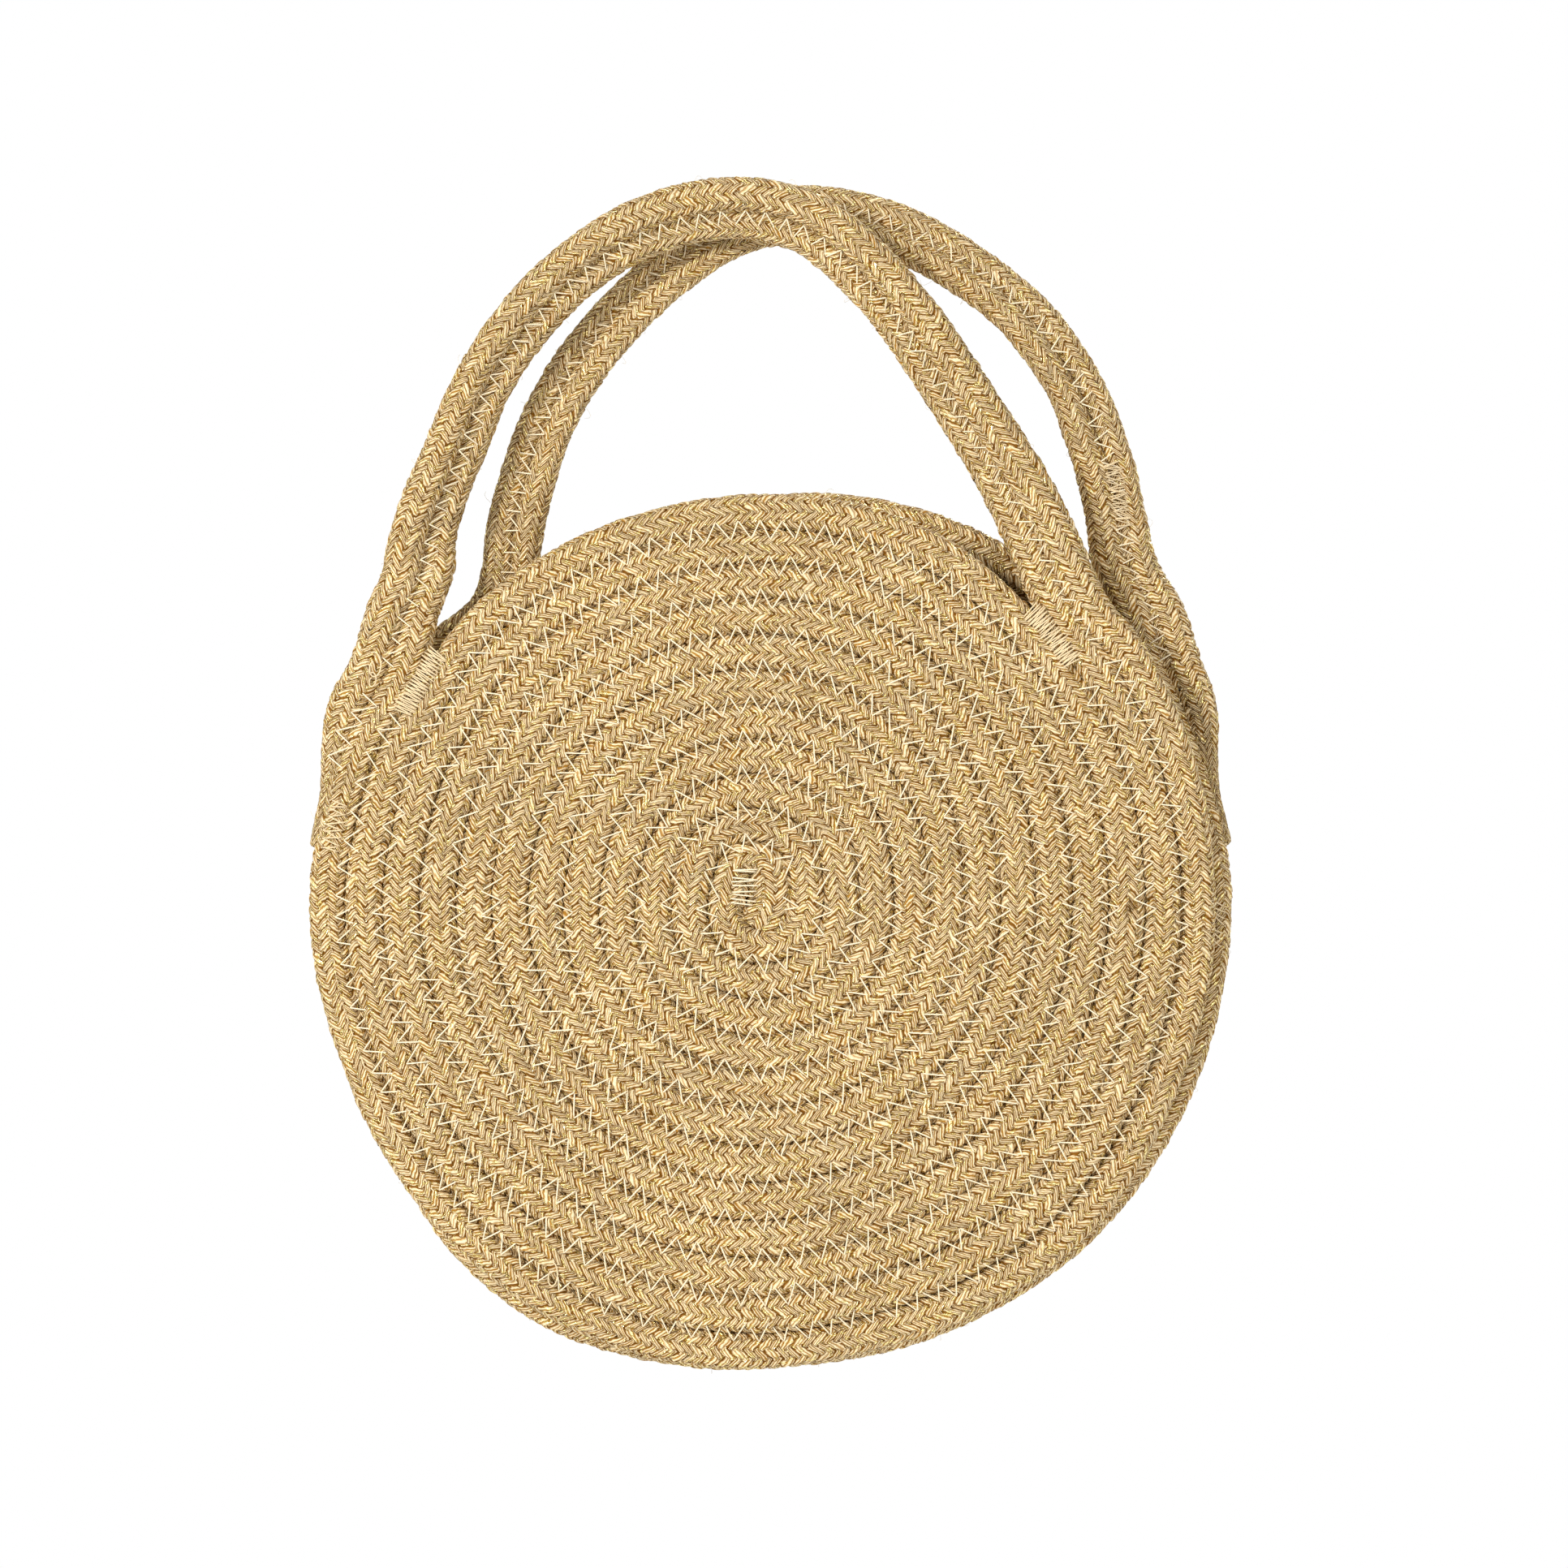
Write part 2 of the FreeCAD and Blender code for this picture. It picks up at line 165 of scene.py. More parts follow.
TWIST_WAVES = ((0.5, 61.0 * MM, 0), (0.6, 143.0 * MM, 1))
SWELL_WAVES = ((0.012, 19.0 * MM, 0), (0.01, 7.3 * MM, 0))

# Places where the front half's braid is pulled in, across and up from the coil's centre
PUCKERS = np.array([(85.6, 1.2), (84.5, 0.6), (83.3, -0.1), (82.2, -0.9)]) * MM
PUCKER_R = 1.05 * MM
PUCKER_DEPTH = 3.3 * MM

# Where a stitch goes into the rope
HOLE_R = 0.75 * MM
HOLE_DEPTH = 0.5 * MM

# Thread
THREAD_R = 0.155 * MM
THREAD_SIDES = 6
THREAD_SINK = 0.8 * MM
THREAD_FRONT = np.array([0.01, 1.0, 0.007])  # never quite in line with a stitch
STROKE_SHARES = np.array([0, 0.07, 0.2, 0.5, 0.8, 0.93, 1])
STROKE_DEPTHS = THREAD_SINK * np.array([1, 0.3, 0.02, 0.05, 0.02, 0.3, 1])
STROKE_MIDDLE = len(STROKE_SHARES) // 2
BURIED = 0.04 * MM  # how deep a stitch lies among the yarns at the least, and by how much more
BURIED_MORE = 0.14 * MM
SLANT_BURIED = 0.27 * MM  # more for every other stitch, the one with the greater slant
HANDLE_BURIED = 0.52 * MM  # and on a handle

# Stitching
ZIG_START_ANGLE = -100.0
ZIG_MESS = 0.28 * MM
ZIG_MESS_SHARE = 0.08
ROW_GAP_ANGLE = 1.0  # between the left root and the row on the disc's edge
SEAM_BURIED = 0.6 * MM
SEAM_WAVES = ((0.7 * MM, 31.0 * MM, 0),)
SEAM_MESS = 0.12 * MM
SATIN_FEWEST = 3
SATIN_MESS_SHARE = 0.12  # of half a stitch's length
SATIN_SLIP_SHARE = 0.35  # of the pitch
SATIN_LIFT = 0.1 * MM  # at the least, and by how much more
SATIN_LIFT_MORE = 0.22 * MM
BARTACK_PITCH = 0.4 * MM
CENTRE_TACK_W = 5.0 * MM
CENTRE_TACK_TOP = np.array([-2.2, 0, 8.4]) * MM  # from the coil's centre
CENTRE_TACK_FOOT = np.array([-3.0, 0, 0.3]) * MM
CENTRE_TACK_STITCHES = 9
CENTRE_TACK_MESS = 0.3 * MM
CENTRE_TACK_LIFT = 0.75 * MM
TAIL_TACK_W = 3.4 * MM
TAIL_TACK_PITCH = 0.6 * MM
TAIL_TACK_OUT = 0.6 * MM  # from the rim's middle line
MOUTH_TACK_STITCHES = 7
MOUTH_TACK_KNOTS = 17
MOUTH_TACK_MESS = 0.5 * MM
MOUTH_TACK_REACH = 0.85  # of the rope's half depth, how far past the rims' crests the thread goes
SPLICE_PITCHES = (2.1 * MM, 2.9 * MM)
SPLICE_THREAD_R = 0.13 * MM
SPLICE_BURIED = 0.1 * MM

# Loose fibres and thread ends
FIBRES = 900
FIBRE_R = 0.035 * MM
FIBRE_SIDES = 3
FIBRE_KNOTS = 5
FIBRE_ROOT = 0.5 * MM  # how deep a fibre starts under the rope's face
FIBRE_LENGTHS = (1.0 * MM, 3.2 * MM)
FIBRE_RISES = (0.2, 0.75)  # of its length
FIBRE_BEND = 0.8  # of half a turn
# Across and up from the coil's centre, and size
THREAD_LOOPS = np.array([(-87.0, 48.0, 2.4), (-87.5, 44.0, 1.4), (-43.2, -77.6, 2.0)]) * MM
LOOP_TURNS = (-0.15, 0.95)
LOOP_KNOTS = 24
LOOP_RISE = 0.5 * MM

# How the bag has settled. Shares are of the rope's pitch.
RIM_DROP_REACH = 1.6  # in turns, how far in from the rim the panel curves back to the seam
RIM_STEP_ANGLES = (100, 140)  # between the handle's roots, where the rim steps out by a turn
SAG_ANGLES = (
    60, 75, 90, 105, 120, 139, 145, 150, 157, 161, 166, 172, 175, 179, 200,
    215, 228, 242, 256, 270, 285, 300, 315, 330, 345, 360, 380, 400, 420,
)
SAG_SHARES = (
    (0.34, 0.26, 0.04, -0.1, -0.04, 0.1, 0.0, -0.2, -0.12, 0.12, 0.14, 0.14, 0.24, 0.22, 0.03,
     0.12, 0.31, 0.45, 0.46, 0.42, 0.26, 0.36, 0.42, 0.24, 0.1, 0.04, 0.0, 0.0, 0.34),
    (-0.3, -0.1, 0.1, 0.31, 0.46, 0.42, 0.3, 0.12, 0.1, 0.15, 0.08, 0.2, 0.28, 0.28, 0.2,
     0.28, 0.34, 0.3, 0.34, 0.4, 0.72, 1.08, 0.86, 0.36, 0.06, 0.04, 0.0, -0.42, -0.3),
)
SAG_BLUR = 11  # degrees
SAG_FADE = (1.01, 1.3)  # of the rim's radius, where the handle stops following the panel
CENTRE_LIFT = 5.4 * MM  # the rope's straight start, which the upper half of each turn is raised by
EDGE_LIFT_SHARE = 0.5  # of that, how much is left at the rim
LIFT_START = 3.0 * MM  # above the coil's centre, where the straight stretch ends, and how much
LIFT_SLOPE = 0.35  # higher for each length further out
SLIDE_ANGLES = (8, 26, 162, 178)
SLIDES = (0.0, -0.7, -3.2, 0.0)  # degrees that the lip has slid round
SLIDE_INSIDE = (0.5, 0.85)  # of the rim's radius, where the slide sets in
SLIDE_OUTSIDE = (0.98, 1.45)  # and where it ends on the handle
WAVES = (  # for each way: parts across and up, length over 2 pi, and start
    ((0, 1, 21.0 * MM, 0), (1, 1, 13.0 * MM, 1)),
    ((1, 0, 34.0 * MM, 0), (0, 1, 27.0 * MM, 2)),
    ((1, 0, 23.0 * MM, 3), (1, -1, 15.0 * MM, 0)),
)
WAVE_HEIGHTS = np.array([0.12 * MM, 0.3 * MM, 0.12 * MM])
WAVE_HALF = 2.1  # from half to half
SPACING_LIMITS = (0.95, 1.08)

# How far the handles lean sideways, by height as a share of the handle's rise above its root
LEAN_HEIGHT_SHARES = (-0.15, 0.02, 0.12, 0.19, 0.26, 0.33, 0.41, 0.48, 0.56, 0.63, 0.70, 0.77, 0.85, 0.97)
LEFT_LEAN_SHARES = (
    (0.0, 0.06, 0.24, 0.02, -0.03, 0.06, 0.16, 0.18, 0.16, 0.17, 0.15, 0.1, 0.05, 0.0),
    (-0.08, -0.07, 0.24, 0.14, -0.02, -0.08, -0.24, -0.3, -0.41, -0.38, -0.38, -0.4, -0.2, 0.0),
)
RIGHT_LEAN_SHARES = (
    (0.0, -0.16, -0.34, -0.46, -0.52, -0.5, -0.46, -0.41, -0.28, -0.16, -0.03, 0.0, 0.0, 0.0),
    (0.0, -0.4, -0.77, -0.6, -0.33, -0.08, 0.12, 0.33, 0.48, 0.57, 0.6, 0.52, 0.32, 0.0),
)
LEAN_BLUR = int(10.0 * MM / FINE_STEP)
LEAN_RAMP = 25.0 * MM  # over which a strand takes up its lean
LEG_CROSSING = 4 * PITCH  # over which the left leg's lean passes into the right leg's

# How the handle's ropes are turned and pulled thin, from its right root to its left root
HANDLE_TILTS = (-40.0, -24.0)  # degrees about the handle's line, outer strand forward
TILT_RAMP_SHARE = 0.17  # of the handle's length, over which it gets so
HANDLE_RUN_SHARES = (0.0, 0.08, 0.2, 0.32, 0.45, 0.6, 0.72, 0.85, 0.94, 1.0)
GIRTH_SHARES = (
    (1.0, 1.015, 0.935, 0.86, 0.835, 0.785, 0.775, 0.865, 1.015, 1.0),
    (1.0, 0.76, 0.77, 0.795, 0.805, 0.785, 0.765, 0.86, 1.05, 1.0),
)
GIRTH_BLUR = int(2 * PITCH / FINE_STEP)

# Yarn's look. A noise has its scale, detail and roughness, and a span its two ends and what they become.
# Light and dark ends of the yarn's tone, which holds its random tone and also the painted highlight on each
# yarn's crest and painted shade at its sides
YARN_LIGHT = (0.915, 0.734, 0.44)
YARN_DARK = (0.38, 0.178, 0.022)
# Painted shade: the brown of the crevices where bundles dive under their neighbours
YARN_CREVICE_SHADE = (0.22, 0.085, 0.006)
GOLD = (1.0, 0.83, 0.38)
OLD_GOLD = (0.42, 0.23, 0.02)
YARNS_PER_FLOAT = 3.0
SPECKS_PER_FLOAT = 6.0
PLIES_PER_FLOAT = 5.0
PLY_SLANT = 1.3
WANDER = 0.3  # of the bundles' spacing
WANDER_STRETCH = 2.0
WANDER_NOISE = (1.1, 1.0)
FIBRE_STRETCH = (2.2, 11.0)  # along a bundle and across it
FIBRE_NOISE = (1.6, 4.0, 0.65)
CRISP_NOISE = (330.0, 1.0)
CRISP_SPAN = (0.35, 0.6, 0.65, 1.0)
PATCH_NOISE = (38.0, 3.0)
RIDGE_SPAN = (0.0, 0.9)
SPECK_CHOICE = (0.8, 0.82)
SPECK_SPAN = (0.5, 0.34)
HALO_SPAN = (0.72, 0.5)
HALO_SHARE = 0.7
SIDE_SHADE_SPAN = (0.01, 0.21)  # at the sides of a bundle and at its ends, where it is painted darker as the shade in the crevices between bundles
END_SHADE_SPAN = (-0.02, 0.16, 0.25, 1.0)
# The first is painted highlight on yarn crests and painted shade at their sides; the rest is the yarns' own
# random tone
RIDGE_HIGHLIGHT_TONE, FIBRE_TONE, YARN_TONE, LEAST_TONE = 1.5, 1.2, 0.7, 0.22
PATCH_SHADE, FLOAT_SHADE, LEAST_SHADE = 0.3, 0.2, 0.75
RIDGE_RISE, FIBRE_RISE, PLY_RISE, SPECK_RISE = 0.8, 0.5, 0.06, 0.3
YARN_BUMP = (0.9, 0.4 * MM)  # strength and distance
YARN_ROUGHNESS = 0.7
GOLD_ROUGHNESS = 0.24
YARN_SPECULAR = 0.08
YARN_SEED = 3.0
SPECK_SEED = 11.0

# Thread's look
THREAD_COLOUR = (0.94, 0.81, 0.57)
# Painted shade: a darker copy of the same thread, for the packed tacks, the seam, the mouth tacks, the
# splice and the loose loops
SHADED_THREAD_COLOUR = (0.80, 0.63, 0.38)
FIBRE_COLOUR = (0.86, 0.70, 0.44)
THREAD_TWIST = 1.7  # turns of its plies in a millimetre
THREAD_PLIES = 3.0
THREAD_NOISE = (420.0, 2.0)
THREAD_SHADES = (0.3, 0.7, 0.88, 1.0)
THREAD_BUMP = (0.4, 0.06 * MM)
THREAD_ROUGHNESS = 0.5
THREAD_SPECULAR = 0.25

# Camera, from the photograph's framing
MM_PER_PIXEL = 0.1785 * MM
PHOTO_SIZE = 1932
PHOTO_MIDDLE_X = 950
PHOTO_COIL_Y = 1116
CAMERA_DISTANCE = 1.6
SENSOR_WIDTH = 36.0

# Light and floor
SOFTBOXES = (  # name, place, width and watts
    ("key", (-0.82, -1.15, 0.3), 0.32, 18.2),
    ("fill", (0.9, -1.25, 0.3), 0.9, 9.0),
    ("back", (0.5, 1.4, 0.7), 0.9, 20.0),
)
AIM = (0, 0, COIL_HEIGHT + 20.0 * MM)
WHITE = (1.0, 1.0, 1.0)
SKY_STRENGTHS = (0.5, 1.0)  # on the bag, and as it is seen
FLOOR_DROP = 0.24  # far enough below for the bag to hang free
FLOOR_HALF = 1.2
FLOOR_GREY = (0.9, 0.9, 0.9)
FLOOR_ROUGHNESS = 0.9


# Lines

def ray(angle):
    turned = np.radians(np.asarray(angle, float))
    return np.stack([np.cos(turned), np.zeros_like(turned), np.sin(turned)], -1)


def unit(vectors):
    return vectors / np.linalg.norm(vectors, axis=-1, keepdims=True)


def left_of(way):
    return unit(np.stack([-way[..., 2], np.zeros_like(way[..., 0]), way[..., 0]], -1))


def swung(angle, way):
    """Directions square to a line's way, at angles from its left."""
    left = left_of(way)
    return np.cos(angle)[..., None] * left + np.sin(angle)[..., None] * np.cross(way, left)


def spiral(total, outward=0.0):
    """Points of the coil at degrees counted on from its start."""
    total = np.asarray(total, float)
    quarter = np.maximum(np.floor(total / QUARTER), -1)
    corner = ray((quarter + 1.5) * QUARTER) * (QUARTER_STEP / math.sqrt(2))
    radius = COIL_START_R + quarter * QUARTER_STEP + outward
    return COIL_CENTRE + corner + ray(total) * radius[..., None]


def total_angle(quarter, angle):
    """The counted-on angle of an angle that lies in a quarter turn."""
    return quarter * QUARTER + (angle - quarter * QUARTER) % FULL_TURN


RIGHT_ROOT = total_angle(INNER_STRAND, RIGHT_ROOT_ANGLE)
LEFT_ROOT = total_angle(INNER_STRAND + 1, LEFT_ROOT_ANGLE)


def sweep(first, last, outward=0.0):
    count = int(math.radians(last - first) * (COIL_START_R + last / QUARTER * QUARTER_STEP) / FINE_STEP) + 2
    return spiral(np.linspace(first, last, count), outward)


def straight_start():
    """The rope's straight start, up to the coil's first quarter turn."""
    share = np.linspace(1, 0, int(START_DROP / FINE_STEP))
    drop = np.stack([share ** START_BOW * START_SHIFT, np.zeros_like(share), share * START_DROP], -1)
    return spiral(0.0) - drop


def smooth(share):
    share = np.clip(share, 0, 1)
    return share * share * (3 - 2 * share)


def ramp(value, start, end):
    """0 before the start, 1 after the end, and smooth between them."""
    return smooth((value - start) / (end - start))


def handle_line():
    """The middle line between a handle's strands, from right root to left root."""
    right = spiral(RIGHT_ROOT, HALF_PITCH)
    left = spiral(LEFT_ROOT, HALF_PITCH)
    middle_x = (right[0] + left[0]) / 2
    half_span = (right[0] - left[0]) / 2
    knots = [right]
    for span_share, rise_share in zip(HANDLE_SPAN_SHARES, HANDLE_RISE_SHARES):
        x = middle_x + span_share * half_span
        knots.append(np.array([x, COIL_Y, right[2] + rise_share * HANDLE_RISE]))
    knots.append(left)
    between = [unit(after - before) for before, after in zip(knots, knots[2:])]
    ways = [ray(RIGHT_ROOT_ANGLE + QUARTER), *between, ray(LEFT_ROOT_ANGLE + QUARTER)]
    points = []
    for start, end, start_way, end_way in zip(knots, knots[1:], ways, ways[1:]):
        chord = np.linalg.norm(end - start)
        at = np.linspace(0, 1, int(chord / FINE_STEP) + 2)[:-1, None]
        points.append(
            (2 * at ** 3 - 3 * at ** 2 + 1) * start + (3 * at ** 2 - 2 * at ** 3) * end
            + (at ** 3 - 2 * at ** 2 + at) * chord * start_way + (at ** 3 - at ** 2) * chord * end_way
        )
    return np.vstack(points + [left[None]])


def directions(points):
    return unit(np.gradient(points, axis=-2))


def lengths(points):
    steps = np.linalg.norm(np.diff(points, axis=-2), axis=-1)
    return np.concatenate([np.zeros_like(steps[..., :1]), np.cumsum(steps, axis=-1)], -1)


def at_length(values, run, where):
    """Numbers or points of a line at lengths along it."""
    if values.ndim == 1:
        return np.interp(where, run, values)
    return np.stack([np.interp(where, run, values[:, axis]) for axis in range(3)], -1)


def blurred(values, width):
    """A row of values with its corners rounded off over a number of places."""
    weight = np.hanning(width + 2)[1:-1]
    padded = np.pad(values, (width // 2, width - 1 - width // 2), mode="edge")
    return np.convolve(padded, weight / weight.sum(), "valid")


def ripple(where, waves):
    """A sum of waves, each with a height, a length over 2 pi and a start."""
    return sum(height * np.sin(where / length + start) for height, length, start in waves)


def off_roots(count, ramp_share):
    """0 at a handle's roots and 1 away from them, along its line."""
    share = np.linspace(0, 1, count)
    return smooth(np.minimum(share, 1 - share) / ramp_share)


def strand_tilt(count, half):
    """How far the handle is turned about its line."""
    return math.radians(HANDLE_TILTS[half]) * off_roots(count, TILT_RAMP_SHARE)


def strand_girth(points, half):
    """The handle rope's girth along its middle line."""
    run = lengths(points)
    girth = np.interp(run / run[-1], HANDLE_RUN_SHARES, GIRTH_SHARES[half])
    seen = HALF_PITCH * np.cos(strand_tilt(len(points), half)) + FREE_WIDE
    return blurred(girth, GIRTH_BLUR) * (HALF_PITCH + FREE_WIDE) / seen


def strand_offset(points, half):
    """How far a handle's strands lie from its middle line."""
    return HALF_PITCH * strand_girth(points, half)


def strand_hold(points):
    """How far a handle follows its lean: half at the roots, fully away from them."""
    run = lengths(points)
    return smooth(0.5 + np.minimum(run, run[-1] - run) / LEAN_RAMP)


def soft_table(where, grid, places, shares, blur):
    """A table of shares of the pitch, its corners rounded off on a grid."""
    return np.interp(where, grid, blurred(np.interp(grid, places, np.array(shares) * PITCH), blur))


def lean(z, shares):
    """How far a handle leg leans sideways at heights."""
    root = spiral(RIGHT_ROOT, HALF_PITCH)[2]
    grid = np.arange(-2 * PITCH, root + 2 * HANDLE_RISE, FINE_STEP)
    return soft_table(z, grid, root + np.array(LEAN_HEIGHT_SHARES) * HANDLE_RISE, shares, LEAN_BLUR)


def sag(angle, shares):
    """How far the panel's edge has spread outward at angles."""
    return soft_table(angle, np.arange(SAG_ANGLES[0], SAG_ANGLES[-1]), SAG_ANGLES, shares, SAG_BLUR)


def waves(x, z, half):
    """How far the used bag waves to and fro at a place."""
    ways = [sum(np.sin((across * x + up * z) / length + start + WAVE_HALF * half)
                for across, up, length, start in pair) for pair in WAVES]
    return np.stack(ways, -1) * WAVE_HEIGHTS


def settle(points, half, hold=0.0):
    """Where a point of the flat pattern lies on the used bag. Hold is its share of the handle's lean."""
    x, y, z = points[..., 0] - COIL_CENTRE[0], points[..., 1], points[..., 2]
    radius = np.hypot(x, z)
    angle = np.degrees(np.arctan2(z, x)) % FULL_TURN
    turn_on = 1 - ramp(angle, *RIM_STEP_ANGLES)
    rim_r = COIL_START_R + QUARTER_STEP * (INNER_STRAND + angle / QUARTER + TURN_QUARTERS * turn_on)
    reach = radius / rim_r
    inside = np.minimum(reach, 1)
    fade = 1 - ramp(reach, *SAG_FADE)
    inward = (rim_r - radius) / PITCH
    drop = smooth(1 - inward / RIM_DROP_REACH) * smooth((BEND_HEIGHT - z) / BEND_HEIGHT)
    counted_on = np.where(angle < SAG_ANGLES[0], angle + FULL_TURN, angle)
    spread = sag(counted_on, SAG_SHARES[half]) * inside ** 2 * fade
    out = np.stack([x, np.zeros_like(x), z], -1) / np.maximum(radius, COIL_GAP)[..., None]
    lift = CENTRE_LIFT * (1 - (1 - EDGE_LIFT_SHARE) * inside)
    lift = lift * smooth(z / (LIFT_SLOPE * radius + LIFT_START)) * fade
    left_lean = lean(z, LEFT_LEAN_SHARES[half])
    right_lean = lean(z, RIGHT_LEAN_SHARES[half])
    sideways = (left_lean + (right_lean - left_lean) * smooth(x / LEG_CROSSING + 0.5)) * hold
    slide = np.radians(np.interp(angle, SLIDE_ANGLES, SLIDES))
    slide = slide * ramp(reach, *SLIDE_INSIDE) * (1 - ramp(reach, *SLIDE_OUTSIDE))
    moved = np.stack([
        COIL_CENTRE[0] + x * np.cos(slide) - z * np.sin(slide) + sideways,
        y + (RIM_Y - COIL_Y) * drop,
        x * np.sin(slide) + z * np.cos(slide) + lift,
    ], -1)
    return moved + waves(x, z, half) + out * spread[..., None]


def spacing_share(line, half):
    """How far apart the turns beside a flat line lie on the used bag, as a share of the pitch."""
    side = left_of(directions(line)) * HALF_PITCH
    apart = settle(line + side, half) - settle(line - side, half)
    share = np.hypot(apart[:, 0], apart[:, 2]) / PITCH
    return blurred(np.clip(share, *SPACING_LIMITS), GIRTH_BLUR)


def to_frame(points, half):
    """From the front half's pattern to the bag's frame."""
    sign = 1 - 2 * half
    return points * np.array([sign, sign, 1]) + np.array([0, 0, COIL_HEIGHT])


# Meshes

def placed(name, data):
    """A new object in the scene."""
    made = bpy.data.objects.new(name, data)
    bpy.context.scene.collection.objects.link(made)
    return made


def mesh_from(name, corners, quads, uv):
    """A mesh of four-sided faces, with one UV pair for each face corner."""
    mesh = bpy.data.meshes.new(name)
    mesh.from_pydata(corners, [], quads, shade_flat=False)
    layer = mesh.uv_layers.new(name="UVMap")
    layer.data.foreach_set("uv", uv.astype(np.float32).ravel())
    mesh.validate()
    return placed(name, mesh)


def tube_faces(rings, sides, first):
    """Quads between rings of a tube, and the ring and side of each corner."""
    ring, side = np.meshgrid(np.arange(rings - 1), np.arange(sides), indexing="ij")
    corner_ring = np.stack([ring, ring, ring + 1, ring + 1], -1).reshape(-1, 4)
    corner_side = np.stack([side, side + 1, side + 1, side], -1).reshape(-1, 4)
    quads = first + corner_ring * sides + corner_side % sides
    return quads, corner_ring, corner_side


class Rope:
    """One half's rope: its line, and what it is part of along the way."""

    def __init__(self, half):
        self.half = half
        middle = handle_line()
        tilt = strand_tilt(len(middle), half)[:, None]
        side = left_of(directions(middle)) * np.cos(tilt) + TO_FRONT * np.sin(tilt)
        side = side * strand_offset(middle, half)[:, None]
        rim_right = total_angle(OUTER_STRAND, RIGHT_ROOT_ANGLE)
        tail_end = total_angle(INNER_STRAND + 1, TAIL_END_ANGLE)
        tail_angles = np.linspace(LEFT_ROOT, tail_end, TAIL_KNOTS)
        drawn_in = smooth((tail_angles - LEFT_ROOT) / (tail_end - LEFT_ROOT) * TAIL_HASTE)
        tail_out = PITCH + (TAIL_TUCK - PITCH) * drawn_in
        stretches = [
            ("coil", np.vstack([straight_start(), sweep(0, INNER_STRAND * QUARTER)])),
            ("root", sweep(INNER_STRAND * QUARTER, RIGHT_ROOT)),
            ("inner", middle + side),
            ("rim", sweep(LEFT_ROOT, rim_right)),
            ("outer", middle - side),
            ("tail", spiral(tail_angles, tail_out)),
        ]
        points = np.vstack([stretch[1] for stretch in stretches])
        label = np.concatenate([[name] * len(stretch) for name, stretch in stretches])
        fresh = np.concatenate([[True], np.diff(lengths(points)) > TOUCHING])
        self.flat = points[fresh]
        self.label = label[fresh]
        self.girth = np.ones(len(self.flat))
        self.free, self.neighbour, self.tilt = np.zeros((3, len(self.flat)))
        for name, neighbour_side in (("inner", -1), ("outer", 1)):
            handle = self.label == name
            self.neighbour[handle] = neighbour_side
            self.girth[handle] = strand_girth(self.flat[handle], half)
            self.free[handle] = off_roots(handle.sum(), FREE_RAMP_SHARE)
            self.tilt[handle] = strand_tilt(handle.sum(), half)
        on_handle = np.isin(self.label, ["inner", "outer"]).astype(float)
        self.points = settle(self.flat, half, blurred(on_handle, int(LEAN_RAMP / FINE_STEP)))
        self.run = lengths(self.points)
        self.way = directions(self.points)
        on_disc = np.isin(self.label, ["coil", "root", "rim"])
        share = np.where(on_disc, spacing_share(self.flat, half), 1.0)
        self.girth *= blurred(share, GIRTH_BLUR)
        self.girth *= 1 + START_SWELL * smooth(1 - self.run / START_SWELL_L)
        tail = self.label == "tail"
        self.girth[tail] = 1 - (1 - TAIL_END_R / (ROPE_D / 2)) * drawn_in[-tail.sum():]

    def at(self, where, *names):
        """What the rope has at lengths along it."""
        return [at_length(getattr(self, name), self.run, where) for name in names]

    def node_names(self):
        """The node that each point of the line is part of."""
        below, low = (self.flat[:, 2] < height for height in (BEND_HEIGHT, SPLIT_HEIGHT))
        root = np.where(self.flat[:, 0] < 0, "left_handle_root", "right_handle_root")
        nodes = {
            "coil": np.where(below, "panel_coil", "lip_coil"),
            "root": np.where(below, "panel_coil", root),
            "inner": np.where(low, root, "handle_inner_strand"),
            "outer": np.where(low, root, "handle_outer_strand"),
            "rim": np.where(below, "rim_turn", root),
            "tail": np.where(below, "rope_tail", root),
        }
        return np.select([self.label == stretch for stretch in nodes], list(nodes.values()), "")

    def runs(self):
        """First and last ring of each unbroken stretch of a node."""
        names = self.node_names()
        breaks = np.flatnonzero(names[1:] != names[:-1])
        edges = [int(round(self.run[at] / RING_STEP)) for at in breaks]
        start = -int(COLUMN_SHEAR / RING_STEP) - 2
        end = int(self.run[-1] / RING_STEP) + 1
        found = {}
        for name, *rings in zip([names[0], *names[breaks + 1]], [start, *edges], [*edges, end]):
            found.setdefault(name, []).append(rings)
        return found


def plaited(rows, around):
    """The row of the braid at a place on the rope, and the share of its width. Bundle ends pass between the
    bundles of the next row, so that the line between two rows winds."""
    border = np.floor(around + 0.5)
    sign = 1 - 2 * (border % 2)
    nearness = 1 - 2 * np.abs(around - border)
    shifted = around - sign * TIP_REACH * np.cos(TURN * rows) * nearness
    column = np.floor(shifted)
    return column % BRAID_COLUMNS, shifted - column


def counted_rows(rows, column):
    """Bundles counted along a row of the braid, which isn't quite even."""
    waves = sum(np.sin(rows * rate + column * step) for rate, step in UNEVEN_WAVES)
    return rows + 0.5 * (column % 2) + UNEVEN * waves


def lot_of(index, column):
    """An unchanging random share for a bundle."""
    value = np.sin(index * LOT_SEEDS[0] + column * LOT_SEEDS[1]) * LOT_SEEDS[2]
    return value - np.floor(value)


